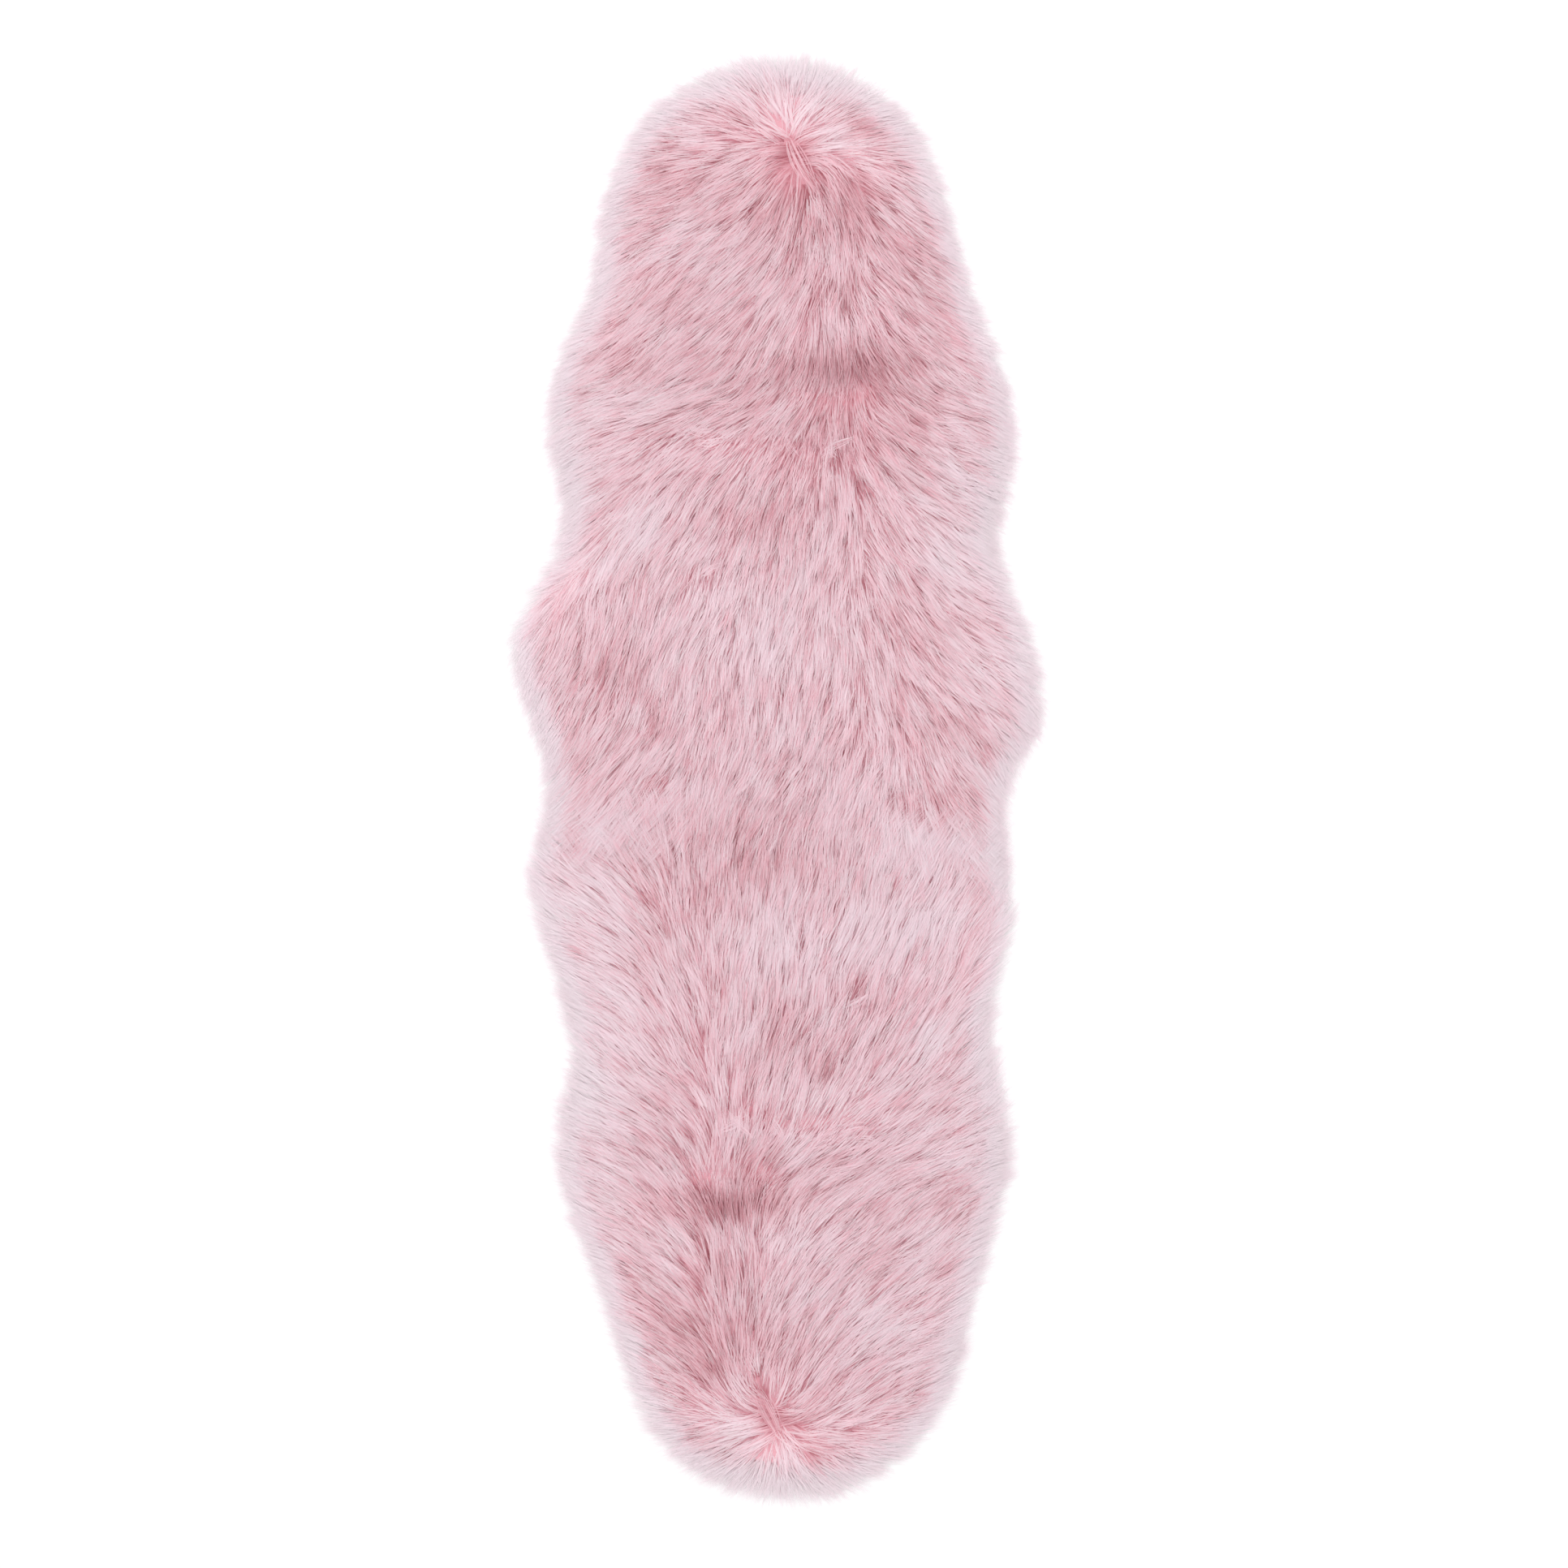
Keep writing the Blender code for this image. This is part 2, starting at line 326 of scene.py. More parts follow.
class Pelt(Enum):
    """The two pelts, by whether a strand rooted there is of the upper one."""

    UPPER = True
    LOWER = False


@dataclass(frozen=True)
class CombRow:
    """Leans of the strands across the upper pelt, at one height."""

    y: float
    leans: tuple[float, ...]


@dataclass(frozen=True)
class Parting:
    """A line on the upper pelt at which strands from above end, so that roots show."""

    places: tuple[tuple[float, float], ...]

    def segments(self) -> Array:
        """Give the line's straight stretches, each as its start and end."""
        line = np.array(self.places)
        return np.stack((line[:-1], line[1:]), axis=1)


def nearest_on(points: Array, start: Array, end: Array) -> Array:
    """Find the nearest point of a straight stretch.

    Args:
        points: Plan points, one a row.
        start: Where the stretch starts.
        end: Where it ends.

    Returns:
        The stretch's nearest point to each point.
    """
    run = end - start
    share = np.clip((points - start) @ run / (run @ run), 0.0, 1.0)
    return start + share[:, None] * run


@dataclass(frozen=True)
class Comb:
    """How the pile is combed.

    A lean is a strand's angle from straight down the upper pelt, to the left if
    negative. The lower pelt is the upper one turned about turn_centre. The whorl
    is a short line that the strands on both sides are combed away from.
    """

    columns: tuple[float, ...] = (-0.24, -0.16, -0.08, 0.00, 0.08, 0.13, 0.18, 0.24)
    rows: tuple[CombRow, ...] = (
        CombRow(0.01, (-35, -42, -15, -20, -18, -2, 18, 38)),
        CombRow(0.11, (-25, -18, -13, -12, -6, 8, 40, 54)),
        CombRow(0.21, (-22, -18, -22, -11, -5, 20, 44, 57)),
        CombRow(0.31, (-42, -34, -26, -15, -2, 30, 48, 58)),
        CombRow(0.40, (-58, -50, -45, -20, 10, 44, 62, 72)),
        CombRow(0.46, (-68, -67, -64, -45, -14, 36, 56, 68)),
        CombRow(0.54, (-50, -48, -45, -25, 5, 42, 55, 58)),
        CombRow(0.62, (-50, -50, -47, -30, 8, 48, 56, 60)),
        CombRow(0.70, (-72, -66, -52, -25, 20, 48, 60, 64)),
    )
    whorl_start: tuple[float, float] = (0.014, 0.791)
    whorl_end: tuple[float, float] = (0.022, 0.772)
    whorl_spread: float = 1.25
    whorl_blend: tuple[float, float] = (0.725, 0.80)
    whorl_reach: tuple[float, float] = (0.015, 0.060)
    partings: tuple[Parting, ...] = (
        Parting(((0.000, 0.492), (0.050, 0.483), (0.085, 0.486), (0.120, 0.498))),
        Parting(
            (
                (-0.165, 0.418),
                (-0.112, 0.434),
                (-0.062, 0.420),
                (0.000, 0.424),
                (0.040, 0.410),
                (0.075, 0.412),
                (0.100, 0.374),
                (0.125, 0.332),
            )
        ),
        Parting(((-0.100, 0.268), (-0.070, 0.262))),
        Parting(((0.168, 0.112), (0.182, 0.092), (0.188, 0.070))),
        Parting(((-0.170, 0.010), (-0.130, 0.002))),
        Parting(((-0.060, -0.028), (0.000, -0.036), (0.050, -0.040))),
    )
    turn_centre: tuple[float, float] = (0.005, -0.008)
    meeting_x: tuple[float, ...] = (-0.30, -0.14, -0.04, 0.08, 0.15, 0.30)
    meeting_y: tuple[float, ...] = (-0.070, -0.060, -0.022, -0.025, -0.080, -0.110)

    def turned(self, points: Array) -> Array:
        """Give the same places on the other pelt."""
        return 2.0 * np.array(self.turn_centre) - points

    def is_upper(self, points: Array) -> Array:
        """Tell which plan points lie on the upper pelt."""
        meeting = read_row(points[:, 0], np.array(self.meeting_x), np.array(self.meeting_y))
        return points[:, 1] >= meeting

    def upper_heading(self, points: Array) -> Array:
        """Find how the upper pelt is combed.

        Args:
            points: Plan points, one a row.

        Returns:
            A unit plan vector for each point.
        """
        places = np.array([row.y for row in self.rows])
        table = np.array([row.leans for row in self.rows], float)
        leans = read_row(points[:, 1], places, table)
        columns = np.array(self.columns)
        x = np.clip(points[:, 0], columns[0], columns[-1])
        index = np.clip(np.searchsorted(columns, x, side="right") - 1, 0, len(columns) - 2)
        share = ease((x - columns[index]) / (columns[index + 1] - columns[index]), 0.0, 1.0)
        row = np.arange(len(points))
        lean = np.radians(leans[row, index] * (1.0 - share) + leans[row, index + 1] * share)
        combed = np.stack((np.sin(lean), -np.cos(lean)), axis=-1)
        nearest = nearest_on(points, np.array(self.whorl_start), np.array(self.whorl_end))
        away = (points - nearest) * (self.whorl_spread, 1.0)
        near = 1.0 - ease(np.linalg.norm(points - nearest, axis=1), *self.whorl_reach)
        blend = np.maximum(ease(points[:, 1], *self.whorl_blend), near)[:, None]
        return unit(combed * (1.0 - blend) + unit(away) * blend)

    def near_whorl(self, points: Array, width: float) -> Array:
        """Tell how near plan points are to the whorl of either pelt.

        Args:
            points: Plan points, one a row.
            width: Distance at which the answer has fallen to about a third.

        Returns:
            From 1 on a whorl to 0 far from both.
        """
        start, end = np.array(self.whorl_start), np.array(self.whorl_end)
        near = np.zeros(len(points))
        for own in (points, self.turned(points)):
            away = np.linalg.norm(own - nearest_on(own, start, end), axis=1) / width
            near += np.exp(-away * away)
        return near

    def segments(self) -> Array:
        """Give the stretches of the partings of both pelts, each as its start and end."""
        upper = np.concatenate([parting.segments() for parting in self.partings])
        return np.concatenate((upper, self.turned(upper)))


@dataclass(frozen=True)
class Patch:
    """A soft oval place in the plan, and how much it adds at its middle."""

    x: float
    y: float
    half_width: float
    half_length: float
    amount: float

    def at(self, points: Array) -> Array:
        """Give what the patch adds at plan points.

        Args:
            points: Plan points, one a row.

        Returns:
            The amount that is added at each point.
        """
        across = (points[:, 0] - self.x) / self.half_width
        along = (points[:, 1] - self.y) / self.half_length
        return self.amount * np.exp(-across * across - along * along)


@dataclass(frozen=True)
class PaintedLightAndShade:
    """Painted light and shade on the fur, as changes of tone: lighter where light falls, darker
    where shade falls.
    """

    both_pelts: tuple[Patch, ...] = (
        Patch(0.025, 0.718, 0.085, 0.065, -0.16),
        Patch(0.017, 0.784, 0.022, 0.022, -0.42),
        Patch(0.024, 0.816, 0.032, 0.030, 0.26),
        Patch(0.000, 0.748, 0.022, 0.026, 0.12),
        Patch(0.100, 0.784, 0.030, 0.022, 0.10),
        Patch(-0.173, 0.308, 0.028, 0.025, 0.18),
        Patch(0.236, 0.380, 0.028, 0.045, 0.20),
        Patch(-0.110, 0.795, 0.030, 0.030, 0.08),
        Patch(-0.075, 0.408, 0.060, 0.018, 0.12),
        Patch(0.014, 0.131, 0.025, 0.030, 0.06),
        Patch(-0.130, -0.005, 0.035, 0.025, 0.08),
        Patch(0.100, 0.700, 0.035, 0.060, -0.12),
        Patch(0.160, 0.620, 0.040, 0.050, -0.12),
        Patch(0.070, 0.597, 0.040, 0.025, -0.12),
        Patch(0.080, 0.510, 0.075, 0.030, -0.34),
        Patch(0.160, 0.455, 0.045, 0.050, -0.10),
        Patch(0.060, 0.420, 0.085, 0.040, -0.14),
        Patch(-0.080, 0.480, 0.060, 0.045, -0.10),
        Patch(-0.120, 0.585, 0.035, 0.050, -0.08),
        Patch(-0.205, 0.510, 0.045, 0.030, -0.10),
        Patch(-0.135, 0.745, 0.040, 0.035, -0.12),
        Patch(-0.120, 0.660, 0.035, 0.035, 0.12),
        Patch(-0.010, 0.322, 0.065, 0.040, -0.14),
        Patch(0.105, 0.808, 0.022, 0.018, -0.14),
        Patch(0.075, 0.795, 0.030, 0.018, 0.18),
        Patch(0.015, 0.862, 0.090, 0.030, 0.16),
        Patch(-0.020, 0.185, 0.150, 0.060, 0.10),
        Patch(0.215, 0.265, 0.045, 0.055, 0.22),
        Patch(-0.215, 0.140, 0.055, 0.060, -0.12),
        Patch(-0.130, 0.045, 0.065, 0.030, -0.08),
        Patch(0.175, 0.200, 0.055, 0.050, -0.05),
        Patch(0.230, 0.050, 0.040, 0.040, -0.03),
        Patch(0.270, 0.130, 0.040, 0.060, 0.16),
        Patch(-0.235, 0.420, 0.035, 0.090, 0.12),
        Patch(-0.230, 0.270, 0.040, 0.035, 0.10),
    )
    rug: tuple[Patch, ...] = (
        Patch(-0.035, -0.090, 0.100, 0.060, -0.12),
        Patch(-0.215, -0.165, 0.050, 0.050, 0.18),
        Patch(-0.215, -0.050, 0.035, 0.035, 0.12),
        Patch(0.170, -0.080, 0.060, 0.030, 0.12),
        Patch(0.170, -0.180, 0.060, 0.050, 0.12),
        Patch(0.000, -0.600, 0.350, 0.260, 0.08),
        Patch(-0.110, -0.470, 0.060, 0.060, 0.12),
        Patch(0.040, -0.430, 0.080, 0.040, 0.08),
        Patch(-0.070, -0.785, 0.050, 0.040, 0.14),
        Patch(0.228, -0.165, 0.040, 0.060, 0.18),
        Patch(0.140, -0.755, 0.045, 0.040, 0.12),
        Patch(-0.060, -0.526, 0.060, 0.022, -0.14),
        Patch(-0.070, -0.590, 0.035, 0.025, -0.10),
        Patch(-0.130, -0.700, 0.035, 0.035, -0.10),
        Patch(-0.220, -0.390, 0.030, 0.035, 0.10),
        Patch(-0.205, -0.490, 0.030, 0.030, 0.10),
        Patch(-0.020, -0.670, 0.060, 0.040, -0.08),
    )

    def at(self, points: Array, comb: Comb) -> Array:
        """Sum the painted light and shade, as a change of tone, at plan points.

        Args:
            points: Plan points, one a row.
            comb: Where the pelts meet and turn about.

        Returns:
            The change of tone at each point.
        """
        own = np.where(comb.is_upper(points)[:, None], points, comb.turned(points))
        total = sum(patch.at(own) for patch in self.both_pelts)
        return total + sum(patch.at(points) for patch in self.rug)


@dataclass(frozen=True)
class PileTop:
    """How high above the floor the pile lies."""

    rim: tuple[tuple[float, float], ...] = (
        (0.000, 0.0015),
        (0.011, 0.009),
        (0.026, 0.017),
        (0.040, 0.023),
        (0.075, 0.032),
        (0.125, 0.038),
    )
    relief_start: float = 0.010
    relief_full: float = 0.090
    groove_depth: float = 0.005
    groove_width: float = 0.010
    billows: tuple[Patch, ...] = (
        Patch(0.016, 0.786, 0.034, 0.030, -0.008),
        Patch(0.042, 0.718, 0.030, 0.026, -0.004),
        Patch(-0.020, 0.850, 0.110, 0.030, 0.004),
        Patch(0.030, 0.660, 0.120, 0.045, -0.004),
        Patch(0.060, 0.575, 0.130, 0.050, 0.005),
        Patch(0.090, 0.480, 0.150, 0.032, -0.009),
        Patch(0.060, 0.400, 0.190, 0.040, 0.008),
        Patch(-0.160, 0.430, 0.080, 0.060, -0.004),
        Patch(-0.120, 0.250, 0.100, 0.050, 0.004),
        Patch(0.160, 0.290, 0.070, 0.060, 0.003),
        Patch(-0.240, 0.150, 0.070, 0.090, 0.003),
        Patch(0.000, 0.150, 0.110, 0.040, -0.004),
        Patch(0.180, 0.110, 0.050, 0.040, 0.004),
        Patch(-0.020, 0.010, 0.130, 0.030, 0.003),
    )

    def at(self, points: Array, depth: Array, comb: Comb) -> Array:
        """Find the height of the pile at plan points.

        Args:
            points: Plan points, one a row.
            depth: Their distances inside the outline.
            comb: Where the pelts turn about, and their partings.

        Returns:
            A height for each point.
        """
        places, heights = np.array(self.rim).T
        body = np.interp(depth, places, heights)
        turned = comb.turned(points)
        relief = sum(billow.at(points) + billow.at(turned) for billow in self.billows)
        gaps = [
            np.linalg.norm(points - nearest_on(points, start, end), axis=1)
            for start, end in comb.segments()
        ]
        relief -= self.groove_depth * np.exp(-((np.min(gaps, axis=0) / self.groove_width) ** 2))
        return body + relief * ease(depth, self.relief_start, self.relief_full)


class Lie:
    """How strands lie on this rug: its outline, comb and pile height, read fast."""

    RIM_WIDTH = 0.075
    RIM_LEAN = 42.0
    DRIFT_LEAN = 9.0
    DRIFT_SIZE = 0.055
    PARALLEL = 1e-12

    def __init__(self, outline: Outline, comb: Comb, top: PileTop) -> None:
        """Work the rug's outline, comb and height out on a grid.

        Args:
            outline: Plan of the rug.
            comb: How it is combed.
            top: How high it lies.
        """
        self.outline, self.comb = outline, comb
        self.grid = PlanGrid()
        nodes = self.grid.nodes()
        flat = nodes.reshape(-1, 2)
        edge = outline.line()
        rows = [np.linalg.norm(row[:, None] - edge[None], axis=-1).min(axis=1) for row in nodes]
        inside = outline.contains(flat).reshape(nodes.shape[:2])
        self.depths = np.where(inside, rows, -np.array(rows))
        slope_y, slope_x = np.gradient(self.depths, self.grid.pitch)
        self.outwards = -unit(np.stack((slope_x, slope_y), axis=-1))
        self.headings = comb.upper_heading(flat).reshape(nodes.shape)
        heights = top.at(flat, self.depths.ravel(), comb)
        self.heights = heights.reshape(nodes.shape[:2])
        self.drift = Drift(SEED, self.DRIFT_SIZE)

    def depth(self, points: Array) -> Array:
        """Give how far inside the outline plan points are."""
        return self.grid.sample(self.depths, points)

    def height(self, points: Array) -> Array:
        """Give how high the pile lies at plan points."""
        return self.grid.sample(self.heights, points)

    def heading(self, points: Array, upper: Array) -> Array:
        """Find which way strands run at plan points.

        Near the rim they keep within RIM_LEAN of straight outwards.

        Args:
            points: Plan points, one a row.
            upper: Whether each point's strand is rooted in the upper pelt.

        Returns:
            A unit plan vector for each point.
        """
        own = np.where(upper[:, None], points, self.comb.turned(points))
        combed = self.grid.sample(self.headings, own) * np.where(upper, 1.0, -1.0)[:, None]
        combed = rotate(unit(combed), np.radians(self.DRIFT_LEAN) * self.drift.at(points))
        outward = unit(self.grid.sample(self.outwards, points))
        cross = outward[:, 0] * combed[:, 1] - outward[:, 1] * combed[:, 0]
        lean = np.arctan2(cross, (outward * combed).sum(axis=1))
        limit = np.radians(self.RIM_LEAN)
        limited = rotate(outward, np.clip(lean, -limit, limit))
        share = 1.0 - ease(self.depth(points), 0.0, self.RIM_WIDTH)
        return unit(combed + (limited - combed) * share[:, None])

    def trace(self, roots: Array, upper: Array, leans: Array, reach: Array, steps: int) -> Array:
        """Follow the comb from roots to tips.

        Args:
            roots: Plan points that the lines start from.
            upper: Whether each is rooted in the upper pelt.
            leans: Each line's own lean from the comb, in radians.
            reach: Length of each line in the plan.
            steps: Number of steps along each.

        Returns:
            The lines' points, one row of points for each step.
        """
        line = [roots]
        for _ in range(steps):
            step = rotate(self.heading(line[-1], upper), leans)
            line.append(line[-1] + step * (reach / steps)[:, None])
        return np.array(line)

    def share_to_parting(self, lines: Array) -> Array:
        """Find how far along strands' lines the first parting lies.

        Args:
            lines: The lines' points, one row of points for each step.

        Returns:
            A share of each line's length, or infinity where it meets none.
        """
        steps = len(lines) - 1
        found = np.full(lines.shape[1], np.inf)
        for start, end in self.comb.segments():
            run = end - start
            for step in range(steps):
                stride = lines[step + 1] - lines[step]
                gap = start - lines[step]
                cross = stride[:, 0] * run[1] - stride[:, 1] * run[0]
                cross = np.where(np.abs(cross) < self.PARALLEL, self.PARALLEL, cross)
                along = (gap[:, 0] * run[1] - gap[:, 1] * run[0]) / cross
                across = (gap[:, 0] * stride[:, 1] - gap[:, 1] * stride[:, 0]) / cross
                meets = (along >= 0.0) & (along < 1.0) & (across >= 0.0) & (across <= 1.0)
                share = np.where(meets, (step + along) / steps, np.inf)
                found = np.minimum(found, share)
        return found


@dataclass
class Strands:
    """Ribbons that a piece of the coat is made of, as arrays with one row a strand.

    Plan points, heights and tones have a column for each station of the ribbon.
    Bare is the share of a strand's length that is left off at its root.
    """

    plan: Array
    height: Array
    width: Array
    roll: Array
    tone: Array
    bare: Array

    @classmethod
    def joined(cls, groups: list["Strands"]) -> "Strands":
        """Join groups of strands into one."""
        names = [item.name for item in fields(cls)]
        return cls(*(np.concatenate([getattr(group, name) for group in groups]) for name in names))


@dataclass(frozen=True)
class Lock:
    """A leaf-shaped lock of strands that lies over the upper pelt's pile."""

    places: tuple[tuple[float, float], ...]
    width: float
    strands: int
    tone: float
    rise: float = 0.001
    chord: float = 0.1

    def at(self, share: Array) -> tuple[Array, Array]:
        """Follow the lock's middle line.

        Args:
            share: Shares of its length.

        Returns:
            Plan points, and the direction across the line at each.
        """
        line = np.array(self.places)
        places = np.linspace(0.0, 1.0, len(line))
        point = np.stack([np.interp(share, places, row) for row in line.T], axis=-1)
        ahead = np.stack([np.interp(share + self.chord, places, row) for row in line.T], axis=-1)
        behind = np.stack([np.interp(share - self.chord, places, row) for row in line.T], axis=-1)
        along = unit(ahead - behind)
        return point, np.stack((-along[..., 1], along[..., 0]), axis=-1)


@dataclass(frozen=True)
class Ribbon:
    """Shape of one strand: stations from root to tip, each a share of its length."""

    stations: tuple[float, ...] = (0.0, 0.22, 0.48, 0.76, 1.0)
    widths: tuple[float, ...] = (0.80, 1.00, 0.92, 0.60)
    rises: tuple[float, ...] = (0.0, 0.66, 0.93, 1.0, 0.97)
    tone_width: float = 0.006

    def sides(self, strands: Strands) -> Array:
        """Find the direction across each strand at each station.

        Args:
            strands: The strands.

        Returns:
            Unit vectors, rolled about the strands.
        """
        points = np.concatenate((strands.plan, strands.height[..., None]), axis=-1)
        along = unit(np.gradient(points, axis=1))
        level = np.stack((-along[..., 1], along[..., 0], np.zeros(along.shape[:2])), axis=-1)
        level = unit(level)
        up = np.cross(along, level)
        roll = strands.roll[:, None, None]
        return level * np.cos(roll) + up * np.sin(roll)

    def mapped(self, strands: Strands) -> Array:
        """Map strands by tone and share of length.

        Args:
            strands: The strands.

        Returns:
            A place on the bake map for each vertex of each strand.
        """
        tones = np.repeat(strands.tone[:, :-1], 2, axis=1)
        tones = tones + self.tone_width * np.tile((-1.0, 1.0), len(self.stations) - 1)
        tones = np.concatenate((tones, strands.tone[:, -1:]), axis=1)
        along = np.append(np.repeat(self.stations[:-1], 2), 1.0)
        hidden = strands.bare[:, None]
        return np.stack((tones, hidden + (1.0 - hidden) * along), axis=-1)

    def faces(self, count: int) -> tuple[Array, Array]:
        """List the faces of strands, each a row of quads that ends in a triangle.

        Args:
            count: Number of strands.

        Returns:
            The vertices round all faces in turn, and each face's number of sides.
        """
        quads = len(self.stations) - 2
        last = 2 * quads
        per_strand = last + 3
        corners = [2 * quad + step for quad in range(quads) for step in (0, 1, 3, 2)]
        corners = np.array(corners + [last, last + 1, last + 2])
        loops = (np.arange(count)[:, None] * per_strand + corners[None]).ravel()
        return loops, np.tile([4] * quads + [3], count)

    def mesh(self, name: str, strands: Strands) -> bpy.types.Mesh:
        """Join all strands into one mesh, mapped by tone and share of length.

        Args:
            name: Name of the mesh.
            strands: The strands.

        Returns:
            The mesh.
        """
        count = len(strands.height)
        points = np.concatenate((strands.plan, strands.height[..., None]), axis=-1)
        across = self.sides(strands)[:, :-1]
        half = 0.5 * strands.width[:, None, None] * np.array(self.widths)[None, :, None]
        left = points[:, :-1] - across * half
        right = points[:, :-1] + across * half
        pairs = np.stack((left, right), axis=2).reshape(count, -1, 3)
        vertices = np.concatenate((pairs, points[:, -1:]), axis=1).reshape(-1, 3)
        uvs = self.mapped(strands).reshape(-1, 2)
        loops, sizes = self.faces(count)
        starts = np.concatenate(((0,), np.cumsum(sizes)[:-1]))

        mesh = bpy.data.meshes.new(name)
        mesh.vertices.add(len(vertices))
        mesh.vertices.foreach_set("co", vertices.ravel())
        mesh.loops.add(len(loops))
        mesh.loops.foreach_set("vertex_index", loops)
        mesh.polygons.add(len(sizes))
        mesh.polygons.foreach_set("loop_start", starts)
        mesh.polygons.foreach_set("loop_total", sizes)
        mesh.polygons.foreach_set("use_smooth", np.ones(len(sizes), bool))
        layer = mesh.uv_layers.new(name=BAKE_MAP)
        layer.data.foreach_set("uv", uvs[loops].ravel())
        mesh.update(calc_edges=True)
        return mesh


@dataclass(frozen=True)
class Coat:
    """One kind of pile: wisps of strands, drawn together into tufts.

    Reach is a wisp's length in the plan, and inset the least distance of its root
    inside the outline. Near the rim, tips end at random over a belt tip_margin wide,
    which starts overshoot beyond the outline. Layers are shares of the pile's height.
    """

    wisp_pitch: float = 0.0098
    strands_per_wisp: int = 12
    inset: float = 0.036
    reach: tuple[float, float] = (0.056, 0.076)
    wisp_lean: float = 7.0
    strand_lean: float = 3.0
    root_spread: float = 0.0080
    gathering: float = 0.40
    tuft_pitch: float = 0.034
    tuft_pull: float = 0.14
    tuft_rise: float = 0.0035
    layers: tuple[float, float] = (0.91, 1.0)
    width: float = 0.00095
    tip_margin: float = 0.019
    overshoot: float = 0.009
    tone: float = 0.505
    wisp_tone: float = 0.056
    strand_tone: float = 0.098
    # Painted shade: strands lying lower in the pile are made darker, by this much per share of its
    # height.
    layer_shade_tone: float = 0.80
    steps: int = 12
    ribbon: Ribbon = Ribbon()


class Fur:
    """Grows the coats of the rug.

    A bend is the power that a share along a strand or a wisp is raised to. Tones
    go from 0, the deepest, to 1, the palest.
    """

    # Roots, tufts and how wisps are gathered.
    ROW_SHARE = math.sqrt(0.75)
    TUFT_JITTER = 0.35
    MEETING_BLUR = 0.012
    ROOT_AREA = 1.6
    PULL_BEND = 1.5
    GATHER_BEND = 0.8
    LEAN_BEND = 1.5
    HAZE_DEPTH = 0.060
    HAZE_GATHERING = 0.25
    LAST_BIT = 1e-6

    # Where strands end, at a parting and at the rim.
    LENGTHS = (0.72, 1.0)
    LEAST_LENGTH = 0.30
    PARTING_STRAY = 0.12
    PARTING_SHARE = 0.75
    MARGIN_BEND = 1.4
    LEAST_STEPS = 2
    OVERHANG = 0.021
    LEAST_DROP = 1e-6

    # How strands lie over each other.
    LAYER_SPREAD = 0.018
    TUFT_FADE = (0.01, 0.09)
    FLOOR_CLEARANCE = 0.0006
    WHORL_BARE = 0.28
    WHORL_WIDTH = 0.026
    WIDTHS = (0.7, 1.25)
    ROLL = 9.0

    # Loose locks.
    LOCK_STAGGER = 0.35
    LOCK_LAYERS = (0.93, 1.02)
    LOCK_FOOT = 0.40
    LOCK_BARE = 0.30

    # Tones.
    DEEP_WISPS = 0.10
    DEEP_TONE = -0.20
    RIM_PALE_DEPTH = 0.038
    RIM_PALE = 0.44
    TONE_SIZE = 0.035
    DRIFT_TONE = 0.05
    TONES = (0.02, 0.98)

    def __init__(self, lie: Lie, shading: PaintedLightAndShade) -> None:
        """Keep what all coats follow.

        Args:
            lie: How strands lie.
            shading: Painted light and shade on them, as changes of tone.
        """
        self.lie, self.shading = lie, shading
        self.chance = np.random.default_rng(SEED)
        self.drift = Drift(SEED + 1, self.TONE_SIZE)

    def scatter(self, pitch: float, inset: float, jitter: float) -> Array:
        """Scatter plan points evenly inside the outline.

        Args:
            pitch: Distance between neighbours.
            inset: Least distance inside the outline.
            jitter: Share of the pitch that a point may be off its place.

        Returns:
            Plan points, one a row.
        """
        grid = self.lie.grid
        x = np.arange(-grid.half_width, grid.half_width, pitch)
        y = np.arange(-grid.half_length, grid.half_length, pitch * self.ROW_SHARE)
        points = np.stack(np.meshgrid(x, y), axis=-1)
        points[1::2, :, 0] += 0.5 * pitch
        points += self.chance.uniform(-jitter, jitter, points.shape) * pitch
        points = points.reshape(-1, 2)
        return points[self.lie.depth(points) > inset]

    def upper(self, roots: Array) -> Array:
        """Tell which roots belong to the upper pelt, with a blurred border.

        Args:
            roots: Plan points, one a row.

        Returns:
            Whether each root is of the upper pelt.
        """
        blurred = roots.copy()
        blurred[:, 1] += self.chance.normal(0.0, self.MEETING_BLUR, len(roots))
        return self.lie.comb.is_upper(blurred)

    def tufts(self, coat: Coat, roots: Array, upper: Array, reach: Array) -> tuple[Array, Array]:
        """Find the middle line of the tuft that each wisp belongs to.

        Args:
            coat: The coat that the wisps are of.
            roots: The wisps' roots.
            upper: Whether each is rooted in the upper pelt.
            reach: The wisps' lengths in the plan.

        Returns:
            The tufts' lines as the wisps follow them, and each wisp's distance
            from its tuft's root as a share of the tufts' pitch.
        """
        middles = self.scatter(coat.tuft_pitch, coat.inset, self.TUFT_JITTER)
        middles_upper = self.lie.comb.is_upper(middles)
        nearest = np.empty(len(roots), int)
        for pelt in Pelt:
            own = np.flatnonzero(upper == pelt.value)
            known = np.flatnonzero(middles_upper == pelt.value)
            gaps = np.linalg.norm(roots[own, None] - middles[None, known], axis=-1)
            nearest[own] = known[gaps.argmin(axis=1)]
        leans = np.radians(self.chance.normal(0.0, coat.wisp_lean, len(middles)))
        lines = self.lie.trace(middles[nearest], upper, leans[nearest], reach, coat.steps)
        off = np.linalg.norm(roots - middles[nearest], axis=1) / coat.tuft_pitch
        return lines, off

